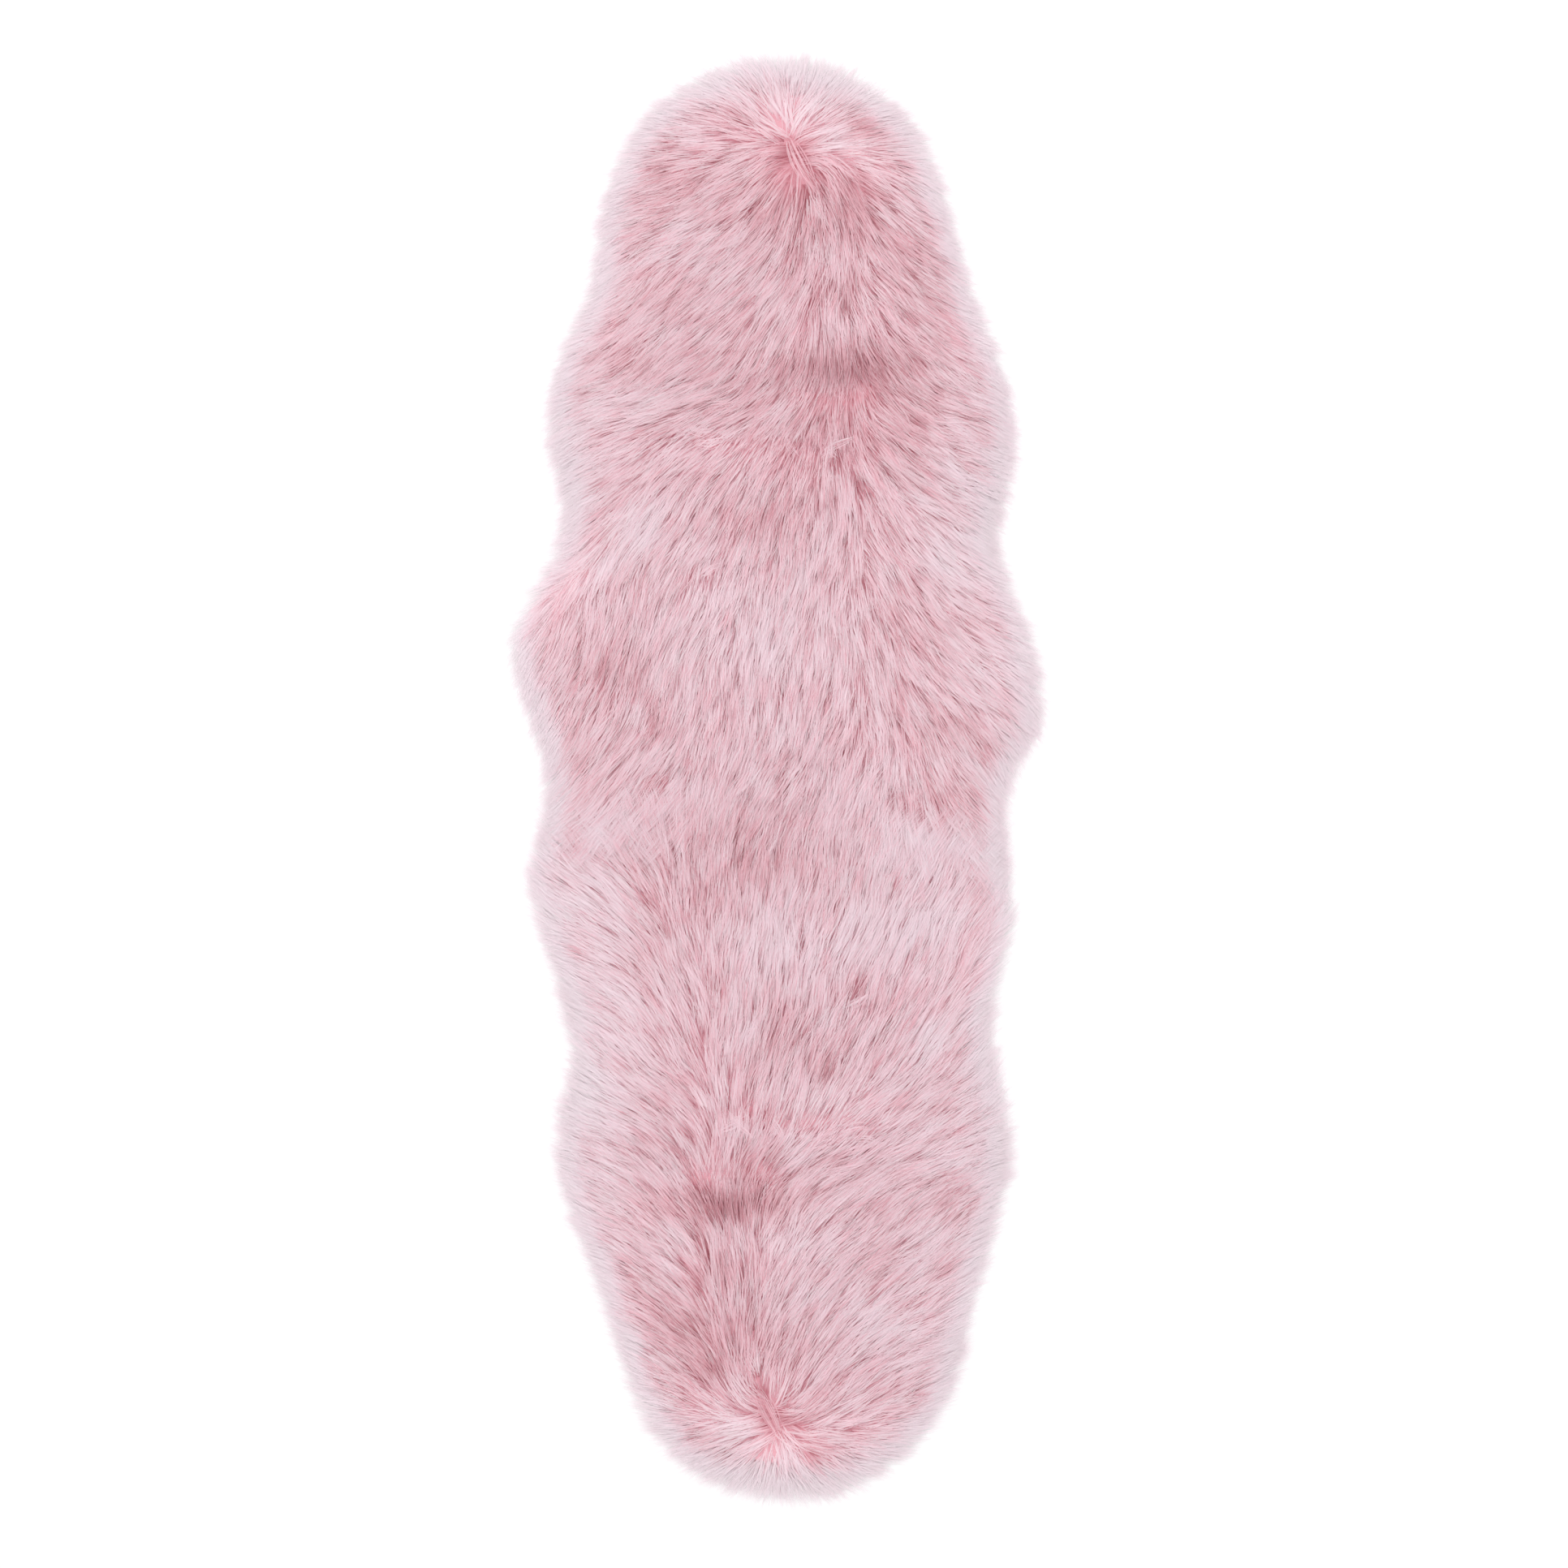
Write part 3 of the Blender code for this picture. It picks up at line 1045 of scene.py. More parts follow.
    def wisps(self, coat: Coat, roots: Array) -> tuple[Array, Array]:
        """Lay the middle lines of a coat's wisps.

        Args:
            coat: The coat.
            roots: The wisps' roots.

        Returns:
            The lines' points, and each wisp's distance from its tuft's root as
            a share of the tufts' pitch.
        """
        upper = self.upper(roots)
        reach = self.chance.uniform(*coat.reach, len(roots))
        leans = np.radians(self.chance.normal(0.0, coat.wisp_lean, len(roots)))
        lines = self.lie.trace(roots, upper, leans, reach, coat.steps)
        middles, off = self.tufts(coat, roots, upper, reach)
        pull = coat.tuft_pull * (np.arange(coat.steps + 1) / coat.steps) ** self.PULL_BEND
        return lines + (middles - lines) * pull[:, None, None], off

    def lengths(self, coat: Coat, lines: Array, wisp: Array) -> Array:
        """Choose how far along its wisp each strand reaches.

        Args:
            coat: The coat.
            lines: The middle lines of the wisps.
            wisp: The wisp of each strand.

        Returns:
            A share of the wisp's line for each strand.
        """
        count = len(wisp)
        length = self.chance.uniform(*self.LENGTHS, count)
        stray = self.chance.uniform(-self.PARTING_STRAY, self.PARTING_STRAY, count)
        stops = self.chance.uniform(0.0, 1.0, count) < self.PARTING_SHARE
        parting = np.where(stops, self.lie.share_to_parting(lines)[wisp] + stray, np.inf)
        length = np.minimum(length, np.maximum(parting, self.LEAST_LENGTH))
        return self.clear_of_rim(coat, lines, wisp, length)

    def follow(
        self, coat: Coat, lines: Array, wisp: Array, offset: Array, length: Array
    ) -> Array:
        """Lay strands along their wisps, gathered towards the wisps' tips.

        Args:
            coat: The coat.
            lines: The middle lines of the wisps.
            wisp: The wisp of each strand.
            offset: Each root's place beside its wisp's root.
            length: The share of its line that each strand reaches along.

        Returns:
            Plan points at each station of each strand.
        """
        stations = np.array(coat.ribbon.stations)
        plan = np.empty((len(wisp), len(stations), 2))
        tips = lines[-1][wisp]
        inner = ease(self.lie.depth(tips), 0.0, self.HAZE_DEPTH)
        gathering = coat.gathering * (self.HAZE_GATHERING + (1.0 - self.HAZE_GATHERING) * inner)
        run = tips - lines[0][wisp]
        across = np.stack((-run[:, 1], run[:, 0]), axis=-1)
        lean = np.tan(np.radians(self.chance.normal(0.0, coat.strand_lean, len(wisp))))
        for place, share in enumerate(stations):
            at = np.clip(length * share * coat.steps, 0.0, coat.steps - self.LAST_BIT)
            low = at.astype(int)
            part = (at - low)[:, None]
            middle = lines[low, wisp] * (1.0 - part) + lines[low + 1, wisp] * part
            gathered = gathering * share**self.GATHER_BEND
            aside = across * (lean * length * share**self.LEAN_BEND)[:, None]
            plan[:, place] = middle + offset * (1.0 - gathered[:, None]) + aside
        return plan

    def grow(self, coat: Coat, roots: Array) -> Strands:
        """Grow a coat's strands.

        Args:
            coat: The coat.
            roots: The roots of its wisps.

        Returns:
            The strands.
        """
        lines, off = self.wisps(coat, roots)
        wisp = np.repeat(np.arange(len(roots)), coat.strands_per_wisp)
        count = len(wisp)
        angle = self.chance.uniform(0.0, 2.0 * math.pi, count)
        spread = coat.root_spread * np.sqrt(self.chance.uniform(0.0, self.ROOT_AREA, count))
        offset = np.stack((np.cos(angle), np.sin(angle)), axis=-1) * spread[:, None]
        length = self.lengths(coat, lines, wisp)
        plan = self.held_near_rim(self.follow(coat, lines, wisp, offset, length))

        layer_of_wisp = self.chance.uniform(*coat.layers, len(roots))
        layer = layer_of_wisp[wisp] + self.chance.normal(0.0, self.LAYER_SPREAD, count)
        bare = self.WHORL_BARE * self.lie.comb.near_whorl(plan[:, 0], self.WHORL_WIDTH)
        crown = np.maximum(1.0 - off[wisp] ** 2, 0.0)
        height = self.raise_strands(coat, plan, layer, crown, bare)
        tone = self.tones(coat, plan, wisp, layer)
        width = coat.width * self.chance.uniform(*self.WIDTHS, count)
        roll = np.radians(self.chance.uniform(-self.ROLL, self.ROLL, count))
        return Strands(plan, height, width, roll, tone, bare)

    def lay(self, lock: Lock, coat: Coat, pelt: Pelt) -> Strands:
        """Lay the strands of a lock.

        Args:
            lock: The lock.
            coat: The coat that its strands are of.
            pelt: The pelt that it lies on.

        Returns:
            The strands.
        """
        first = self.chance.uniform(0.0, self.LOCK_STAGGER, lock.strands)[:, None]
        last = 1.0 - self.chance.uniform(0.0, self.LOCK_STAGGER, lock.strands)[:, None]
        share = first + (last - first) * np.array(coat.ribbon.stations)
        middle, across = lock.at(share)
        aside = self.chance.triangular(-0.5, 0.0, 0.5, lock.strands)[:, None] * lock.width
        swell = np.sin(math.pi * share)
        leaf = self.LOCK_FOOT + (1.0 - self.LOCK_FOOT) * swell
        plan = middle + across * (aside * leaf)[..., None]
        if pelt is Pelt.LOWER:
            plan = self.lie.comb.turned(plan)
        top = self.lie.height(plan.reshape(-1, 2)).reshape(share.shape)
        layer = self.chance.uniform(*self.LOCK_LAYERS, lock.strands)[:, None]
        height = top * layer + lock.rise * swell
        tone = lock.tone + self.chance.normal(0.0, coat.strand_tone, lock.strands)[:, None]
        tone = np.clip(np.broadcast_to(tone, share.shape), *self.TONES)
        width = coat.width * self.chance.uniform(*self.WIDTHS, lock.strands)
        roll = np.radians(self.chance.uniform(-self.ROLL, self.ROLL, lock.strands))
        bare = np.full(lock.strands, self.LOCK_BARE)
        return Strands(plan, height, width, roll, tone, bare)

    def clear_of_rim(self, coat: Coat, lines: Array, wisp: Array, length: Array) -> Array:
        """Shorten strands so that their tips end unevenly on both sides of the outline.

        Args:
            coat: The coat.
            lines: The middle lines of the wisps.
            wisp: The wisp of each strand.
            length: The share of its line that each strand would reach along.

        Returns:
            The shares that they reach.
        """
        depths = np.array([self.lie.depth(points) for points in lines])[:, wisp]
        margin = coat.tip_margin * self.chance.uniform(0.0, 1.0, len(wisp)) ** self.MARGIN_BEND
        margin -= coat.overshoot
        past = depths < margin
        first = np.where(past.any(axis=0), past.argmax(axis=0), coat.steps)
        return np.minimum(length, np.maximum(first, self.LEAST_STEPS) / coat.steps)

    def held_near_rim(self, plan: Array) -> Array:
        """Shorten strands whose tips lie too far beyond the outline.

        Args:
            plan: The strands' plan points.

        Returns:
            The plan points, drawn back towards the roots where need be.
        """
        foot, tip = self.lie.depth(plan[:, 0]), self.lie.depth(plan[:, -1])
        kept = (foot + self.OVERHANG) / np.maximum(foot - tip, self.LEAST_DROP)
        kept = np.clip(kept, 0.0, 1.0)[:, None, None]
        return plan[:, :1] + (plan - plan[:, :1]) * kept

    def raise_strands(
        self, coat: Coat, plan: Array, layer: Array, crown: Array, bare: Array
    ) -> Array:
        """Find how high strands lie along their length.

        Args:
            coat: The coat.
            plan: The strands' plan points.
            layer: The share of the pile's height that each strand lies at.
            crown: How near each is to the middle of its tuft, from 0 to 1.
            bare: The share of each strand's length that is left off at its root.

        Returns:
            Heights at each station of each strand.
        """
        flat = plan.reshape(-1, 2)
        top = self.lie.height(flat).reshape(plan.shape[:2])
        depth = self.lie.depth(flat).reshape(plan.shape[:2])
        lift = coat.tuft_rise * ease(depth, *self.TUFT_FADE) * crown[:, None]
        stations = np.array(coat.ribbon.stations)
        shares = bare[:, None] + (1.0 - bare[:, None]) * stations
        rises = np.interp(shares, stations, coat.ribbon.rises)
        height = (top + lift) * layer[:, None] * rises
        return np.maximum(height, self.FLOOR_CLEARANCE)

    def tones(self, coat: Coat, plan: Array, wisp: Array, layer: Array) -> Array:
        """Choose how light each strand is, painted light and shade included.

        Args:
            coat: The coat.
            plan: The strands' plan points.
            wisp: The wisp of each strand.
            layer: The share of the pile's height that each strand lies at.

        Returns:
            Tones from 0, the deepest, to 1, the palest, at each station of each strand.
        """
        of_wisp = self.chance.normal(0.0, coat.wisp_tone, wisp.max() + 1)
        of_wisp += self.DEEP_TONE * (self.chance.uniform(size=len(of_wisp)) < self.DEEP_WISPS)
        own = coat.tone + of_wisp[wisp] + self.chance.normal(0.0, coat.strand_tone, len(wisp))
        # Painted shade: the lower a strand lies in the pile, the darker it is made.
        own += coat.layer_shade_tone * (layer - coat.layers[1])
        places = plan.reshape(-1, 2)
        # Tone by place: painted light and shade from the patches, a random drift, and paler
        # strands near the rim.
        there = self.shading.at(places, self.lie.comb)
        there += self.DRIFT_TONE * self.drift.at(places)
        there += self.RIM_PALE * (1.0 - ease(self.lie.depth(places), 0.0, self.RIM_PALE_DEPTH))
        return np.clip(own[:, None] + there.reshape(plan.shape[:2]), *self.TONES)


class Desk:
    """Lays out one material's nodes."""

    # A Mix node's sockets for colours: its share, first and second colour, and result.
    MIX_INPUTS = (0, 6, 7)
    MIX_RESULT = 2

    def __init__(self, name: str) -> None:
        """Start a material with only its shader.

        Args:
            name: Name of the material.
        """
        self.material = bpy.data.materials.new(name)
        self.material.use_nodes = True
        self.tree = self.material.node_tree
        self.shader = self.tree.nodes["Principled BSDF"]

    def node(self, kind: str, settings: dict[str, Any], sockets: dict[Any, Any]) -> bpy.types.Node:
        """Add a node.

        Args:
            kind: The node's type.
            settings: Its settings, such as an operation or a ramp's stops.
            sockets: Values or links of its input sockets.

        Returns:
            The node.
        """
        node = self.tree.nodes.new(kind)
        for name, value in settings.items():
            if name == "stops":
                self.set_stops(node.color_ramp, value)
            else:
                setattr(node, name, value)
        for name, value in sockets.items():
            self.feed(node.inputs[name], value)
        return node

    def set_stops(self, ramp: bpy.types.ColorRamp, stops: tuple) -> None:
        """Give a ramp its stops.

        Args:
            ramp: The ramp.
            stops: Pairs of a place and a colour.
        """
        while len(ramp.elements) < len(stops):
            ramp.elements.new(1.0)
        for element, (place, colour) in zip(ramp.elements, stops):
            element.position = place
            element.color = (*colour, 1.0)

    def feed(self, socket: bpy.types.NodeSocket, value: Any) -> None:
        """Link or set an input socket.

        Args:
            socket: The input.
            value: A Value, a socket, a colour or a number.
        """
        if isinstance(value, Value):
            value = value.socket
        if isinstance(value, bpy.types.NodeSocket):
            self.tree.links.new(value, socket)
        elif isinstance(value, tuple) and socket.type == "RGBA":
            socket.default_value = (*value, 1.0)
        else:
            socket.default_value = value

    def mix(self, share: Any, low: Any, high: Any) -> bpy.types.NodeSocket:
        """Blend two colours.

        Args:
            share: How much of the second there is.
            low: The first colour.
            high: The second colour.

        Returns:
            The blend's socket.
        """
        sockets = dict(zip(self.MIX_INPUTS, (share, low, high)))
        node = self.node("ShaderNodeMix", {"data_type": "RGBA"}, sockets)
        return node.outputs[self.MIX_RESULT]

    def surface(self, sockets: dict[str, Any]) -> None:
        """Link or set the shader's own sockets, by name."""
        for name, value in sockets.items():
            self.feed(self.shader.inputs[name], value)

    def emboss(self, height: Any, strength: float, depth: float) -> None:
        """Raise the surface by a height that varies over it.

        Args:
            height: The height, from 0 to 1.
            strength: How strongly it shows.
            depth: What a height of 1 stands for, in metres.
        """
        sockets = {"Height": height, "Strength": strength, "Distance": depth}
        bump = self.node("ShaderNodeBump", {}, sockets)
        self.surface({"Normal": bump.outputs[0]})

    def let_light_through(self, share: float) -> None:
        """Let a share of the light pass through, tinted as the surface is.

        Args:
            share: The share that passes.
        """
        tint = self.shader.inputs["Base Color"].links[0].from_socket
        glow = self.node("ShaderNodeBsdfTranslucent", {}, {"Color": tint})
        shaders = {0: share, 1: self.shader.outputs[0], 2: glow.outputs[0]}
        both = self.node("ShaderNodeMixShader", {}, shaders)
        self.tree.links.new(both.outputs[0], self.tree.nodes["Material Output"].inputs[0])

    def ease(self, value: Any, low: float, high: float) -> "Value":
        """Ease a value from 0 at low to 1 at high.

        Args:
            value: The value.
            low: Where the result leaves 0.
            high: Where the result reaches 1.

        Returns:
            The eased value.
        """
        sockets = {"Value": value, "From Min": low, "From Max": high}
        node = self.node("ShaderNodeMapRange", {"interpolation_type": "SMOOTHSTEP"}, sockets)
        return Value(self, node.outputs[0])


class Value:
    """A number's socket in a material, which sums can be written with."""

    def __init__(self, desk: Desk, socket: bpy.types.NodeSocket) -> None:
        """Keep the socket.

        Args:
            desk: The material's desk.
            socket: The output that the number comes from.
        """
        self.desk, self.socket = desk, socket

    def sum(self, operation: str, first: Any, second: Any) -> "Value":
        """Add a Math node.

        Args:
            operation: Its operation.
            first: Its first number.
            second: Its second number.

        Returns:
            Its result.
        """
        node = self.desk.node("ShaderNodeMath", {"operation": operation}, {0: first, 1: second})
        return Value(self.desk, node.outputs[0])

    def __add__(self, other: Any) -> "Value":
        """Add."""
        return self.sum("ADD", self, other)

    def __sub__(self, other: Any) -> "Value":
        """Subtract."""
        return self.sum("SUBTRACT", self, other)

    def __rsub__(self, other: Any) -> "Value":
        """Subtract, from the right."""
        return self.sum("SUBTRACT", other, self)

    def __mul__(self, other: Any) -> "Value":
        """Multiply."""
        return self.sum("MULTIPLY", self, other)


def from_screen(red: int, green: int, blue: int) -> Colour:
    """Turn a screen colour into a linear one, by the curve of sRGB.

    Args:
        red: Red, from 0 to 255.
        green: Green, from 0 to 255.
        blue: Blue, from 0 to 255.

    Returns:
        The linear colour.
    """
    shares = (red / 255.0, green / 255.0, blue / 255.0)
    return tuple(s / 12.92 if s <= 0.04045 else ((s + 0.055) / 1.055) ** 2.4 for s in shares)


@dataclass(frozen=True)
class FurFinish:
    """Pink fur: painted shade in rose at the root, pink along the strand and pale at the tip."""

    tones: tuple[tuple[float, Colour], ...] = (
        (0.00, from_screen(216, 158, 169)),
        (0.25, from_screen(247, 216, 223)),
        (0.50, from_screen(253, 241, 245)),
        (0.75, from_screen(252, 246, 249)),
        (1.00, from_screen(250, 244, 246)),
    )
    # Painted shade: strands are a darker rose towards the root, low in the pile.
    root: Colour = from_screen(242, 192, 198)
    root_share: float = 0.35
    root_end: float = 0.16
    tip: Colour = from_screen(248, 236, 241)
    tip_share: float = 0.30
    tip_start: float = 0.55
    streak: float = 0.14
    streaks: float = 60.0
    streak_length: float = 2.5
    roughness: float = 0.55
    sheen: float = 0.30
    sheen_roughness: float = 0.40
    light_through: float = 0.65

    def make(self, name: str) -> bpy.types.Material:
        """Make the material.

        Args:
            name: Its name.

        Returns:
            The material.
        """
        desk = Desk(name)
        place = desk.node("ShaderNodeUVMap", {"uv_map": BAKE_MAP}, {}).outputs[0]
        split = desk.node("ShaderNodeSeparateXYZ", {}, {0: place})
        tone, along = Value(desk, split.outputs[0]), Value(desk, split.outputs[1])
        grain = {"X": tone * self.streaks, "Y": along * self.streak_length}
        spot = desk.node("ShaderNodeCombineXYZ", {}, grain).outputs[0]
        sockets = {"Vector": spot, "Scale": 1.0}
        noise = desk.node("ShaderNodeTexNoise", {"noise_dimensions": "2D"}, sockets)
        streak = (Value(desk, noise.outputs[0]) - 0.5) * self.streak
        body = desk.node("ShaderNodeValToRGB", {"stops": self.tones}, {0: tone + streak})
        # Painted shade towards the root.
        root_share = (1.0 - desk.ease(along, 0.0, self.root_end)) * self.root_share
        rooted = desk.mix(root_share, body.outputs[0], self.root)
        tip_share = desk.ease(along, self.tip_start, 1.0) * self.tip_share
        desk.surface(
            {
                "Base Color": desk.mix(tip_share, rooted, self.tip),
                "Roughness": self.roughness,
                "Sheen Weight": self.sheen,
                "Sheen Roughness": self.sheen_roughness,
            }
        )
        desk.let_light_through(self.light_through)
        return desk.material


@dataclass(frozen=True)
class BackingFinish:
    """Knitted backing in a deeper rose, with its courses of loops raised."""

    rose: Colour = from_screen(186, 112, 122)
    pale: Colour = from_screen(206, 140, 150)
    loop_scale: float = 420.0
    bump: float = 0.4
    bump_depth: float = 0.001
    roughness: float = 0.9

    def make(self, name: str) -> bpy.types.Material:
        """Make the material.

        Args:
            name: Its name.

        Returns:
            The material.
        """
        desk = Desk(name)
        place = desk.node("ShaderNodeTexCoord", {}, {}).outputs["Object"]
        sockets = {"Vector": place, "Scale": self.loop_scale}
        loops = desk.node("ShaderNodeTexVoronoi", {}, sockets).outputs[0]
        colour = desk.mix(loops, self.pale, self.rose)
        desk.surface({"Base Color": colour, "Roughness": self.roughness})
        desk.emboss(loops, self.bump, self.bump_depth)
        return desk.material


@dataclass(frozen=True)
class WoolGapShadeFinish:
    """Short curly wool under the strands, in a warmer, darker pink that is painted shade for the
    gaps between them.
    """

    deep: Colour = from_screen(216, 156, 166)
    pale: Colour = from_screen(230, 188, 197)
    curl_scale: float = 160.0
    curl_detail: float = 3.0
    bump: float = 0.5
    bump_depth: float = 0.002
    roughness: float = 0.85
    sheen: float = 0.3

    def make(self, name: str) -> bpy.types.Material:
        """Make the material.

        Args:
            name: Its name.

        Returns:
            The material.
        """
        desk = Desk(name)
        place = desk.node("ShaderNodeTexCoord", {}, {}).outputs["Object"]
        sockets = {"Vector": place, "Scale": self.curl_scale, "Detail": self.curl_detail}
        curls = desk.node("ShaderNodeTexNoise", {}, sockets).outputs[0]
        colour = desk.mix(curls, self.deep, self.pale)
        desk.surface(
            {"Base Color": colour, "Roughness": self.roughness, "Sheen Weight": self.sheen}
        )
        desk.emboss(curls, self.bump, self.bump_depth)
        return desk.material


@dataclass(frozen=True)
class FloorFinish:
    """Plain pale floor."""

    colour: Colour = (0.78, 0.78, 0.78)
    roughness: float = 0.9
    gloss: float = 0.0

    def make(self, name: str) -> bpy.types.Material:
        """Make the material.

        Args:
            name: Its name.

        Returns:
            The material.
        """
        desk = Desk(name)
        desk.surface(
            {
                "Base Color": self.colour,
                "Roughness": self.roughness,
                "Specular IOR Level": self.gloss,
            }
        )
        return desk.material


def add_object(mesh: bpy.types.Mesh, material: bpy.types.Material) -> bpy.types.Object:
    """Put a mesh into the scene with its material, moved so that the rug is centred.

    Args:
        mesh: The mesh, which the object is named after.
        material: The material.

    Returns:
        The object.
    """
    mesh.transform(Matrix.Translation((*CENTRING, 0.0)))
    mesh.materials.append(material)
    item = bpy.data.objects.new(mesh.name, mesh)
    bpy.context.scene.collection.objects.link(item)
    return item


def add_piece(mesh: bpy.types.Mesh, material: bpy.types.Material) -> bpy.types.Object:
    """Put a piece of the rug into the scene, on the rug's body.

    Args:
        mesh: The mesh, which the piece is named after.
        material: The material.

    Returns:
        The piece.
    """
    piece = add_object(mesh, material)
    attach(piece, BODY)
    return piece


@dataclass
class FurCoat:
    """The whole pile: a woolly undercoat, the long pile in bands, and the rim's fringe."""

    fur: Fur
    finish: FurFinish = FurFinish()
    pile: Coat = Coat()
    bands: tuple[str, ...] = ("lower_end", "lower_pelt", "meeting", "upper_pelt", "upper_end")
    undercoat: Coat = Coat(
        wisp_pitch=0.0125,
        strands_per_wisp=4,
        inset=0.052,
        reach=(0.040, 0.055),
        root_spread=0.009,
        gathering=0.2,
        layers=(0.81, 0.93),
        # The undercoat's lower tone is painted shade beneath the long strands.
        tone=0.24,
        width=0.0030,
        ribbon=Ribbon(stations=(0.0, 0.45, 1.0), widths=(0.8, 1.0), rises=(0.0, 0.85, 1.0)),
    )
    fringe: Coat = Coat(
        wisp_pitch=0.0045,
        strands_per_wisp=8,
        reach=(0.064, 0.086),
        root_spread=0.006,
        gathering=0.30,
        layers=(0.35, 0.95),
        width=0.00066,
        overshoot=0.017,
        tone=0.50,
        layer_shade_tone=0.10,
        ribbon=Ribbon((0.0, 0.32, 0.68, 1.0), (0.80, 1.00, 0.75), (0.0, 0.78, 1.0, 0.97)),
    )
    fringe_depth: float = 0.012
    root_jitter: float = 0.4
    locks: tuple[Lock, ...] = (
        # The first lock's low tone is painted shade, matched to the painted shade round the whorl.
        Lock(((0.012, 0.798), (0.021, 0.778), (0.032, 0.756), (0.044, 0.732)), 0.026, 20, 0.32),
        Lock(((0.038, 0.728), (0.048, 0.708), (0.060, 0.686)), 0.013, 10, 0.52),
        Lock(((0.036, 0.726), (0.038, 0.704), (0.040, 0.676)), 0.014, 14, 0.56),
        Lock(((-0.100, 0.252), (-0.086, 0.262), (-0.066, 0.270)), 0.014, 16, 0.60),
        Lock(((0.040, 0.430), (0.060, 0.412), (0.080, 0.392)), 0.012, 9, 0.56),
        Lock(((0.092, 0.424), (0.068, 0.414), (0.044, 0.398)), 0.012, 9, 0.56),
        Lock(((0.062, 0.432), (0.063, 0.408), (0.056, 0.384)), 0.012, 8, 0.60),
        Lock(((-0.122, 0.438), (-0.098, 0.430), (-0.074, 0.432)), 0.014, 9, 0.56),
        Lock(((-0.064, 0.424), (-0.088, 0.416), (-0.112, 0.418)), 0.014, 9, 0.54),
        Lock(((0.002, 0.436), (0.012, 0.416), (0.026, 0.398)), 0.012, 8, 0.56),
        Lock(((0.100, 0.398), (0.112, 0.376), (0.128, 0.352)), 0.014, 12, 0.60),
    )

    def roots(self, coat: Coat) -> Array:
        """Scatter the roots of a coat's wisps."""
        return self.fur.scatter(coat.wisp_pitch, coat.inset, self.root_jitter)

    def join(
        self, name: str, coat: Coat, strands: Strands, material: bpy.types.Material
    ) -> bpy.types.Object:
        """Join strands into one piece of the rug.

        Args:
            name: Its name.
            coat: The coat that it is of.
            strands: Its strands.
            material: Its material.

        Returns:
            The piece.
        """
        piece = add_piece(coat.ribbon.mesh(name, strands), material)
        log.info("%s: %d strands", name, len(strands.tone))
        return piece

    def build(self) -> list[bpy.types.Object]:
        """Build every piece of the coat.

        Returns:
            The pieces.
        """
        fur, material = self.fur, self.finish.make("pink_fur_strands")
        strands = fur.grow(self.undercoat, self.roots(self.undercoat))
        pieces = [self.join("undercoat", self.undercoat, strands, material)]
        roots = self.roots(self.pile)
        roots = roots[np.argsort(roots[:, 1], kind="stable")]
        for name, part in zip(self.bands, np.array_split(roots, len(self.bands))):
            strands = fur.grow(self.pile, part)
            pieces.append(self.join(f"pile_{name}", self.pile, strands, material))
        roots = self.roots(self.fringe)
        roots = roots[fur.lie.depth(roots) < self.fringe.inset + self.fringe_depth]
        strands = fur.grow(self.fringe, roots)
        pieces.append(self.join("rim_fringe", self.fringe, strands, material))
        laid = [fur.lay(lock, self.pile, pelt) for lock in self.locks for pelt in Pelt]
        pieces.append(self.join("pile_locks", self.pile, Strands.joined(laid), material))
        return pieces


def plan_rows(outline: Outline, inset: float, rows: int, columns: int) -> Array:
    """Lay points in rows across the rug, all at least a set distance inside it.

    Args:
        outline: Plan of the rug.
        inset: That distance.
        rows: Number of steps from end to end, one more than the rows that are laid.
        columns: Number of steps across each row.

    Returns:
        Plan points, by row and column.
    """
    reach = outline.end_centre_y + outline.end_radius - inset
    angle = np.linspace(-0.5 * math.pi, 0.5 * math.pi, rows + 1)[1:-1]
    y = reach * np.sin(angle)
    left, right = outline.edges(y, inset)
    share = np.linspace(0.0, 1.0, columns + 1)
    x = left[:, None] * (1.0 - share) + right[:, None] * share
    return np.stack((x, np.broadcast_to(y[:, None], x.shape)), axis=-1)


def closed_layer(name: str, plan: Array, low: float, high: Array) -> bpy.types.Mesh:
    """Make a closed layer with a flat underside.

    Args:
        name: Name of the mesh.
        plan: Plan points, by row and column.
        low: Height of the underside.
        high: Height of the top at each point.

    Returns:
        The mesh.
    """
    rows, columns = plan.shape[:2]
    flat = plan.reshape(-1, 2)
    count = len(flat)
    bottom = np.column_stack((flat, np.full(count, low)))
    top = np.column_stack((flat, high.ravel()))
    cells = [(r, c) for r in range(rows - 1) for c in range(columns - 1)]
    at = [(r * columns + c, r * columns + c + 1) for r, c in cells]
    tops = [(a + count, b + count, b + columns + count, a + columns + count) for a, b in at]
    bottoms = [(a + columns, b + columns, b, a) for a, b in at]
    rim = list(range(columns))
    rim += [r * columns + columns - 1 for r in range(1, rows)]
    rim += [(rows - 1) * columns + c for c in range(columns - 2, -1, -1)]
    rim += [r * columns for r in range(rows - 2, 0, -1)]
    walls = [(a, b, b + count, a + count) for a, b in zip(rim, rim[1:] + rim[:1])]
    mesh = bpy.data.meshes.new(name)
    mesh.from_pydata(np.concatenate((bottom, top)).tolist(), [], tops + bottoms + walls)
    mesh.update()
    return mesh


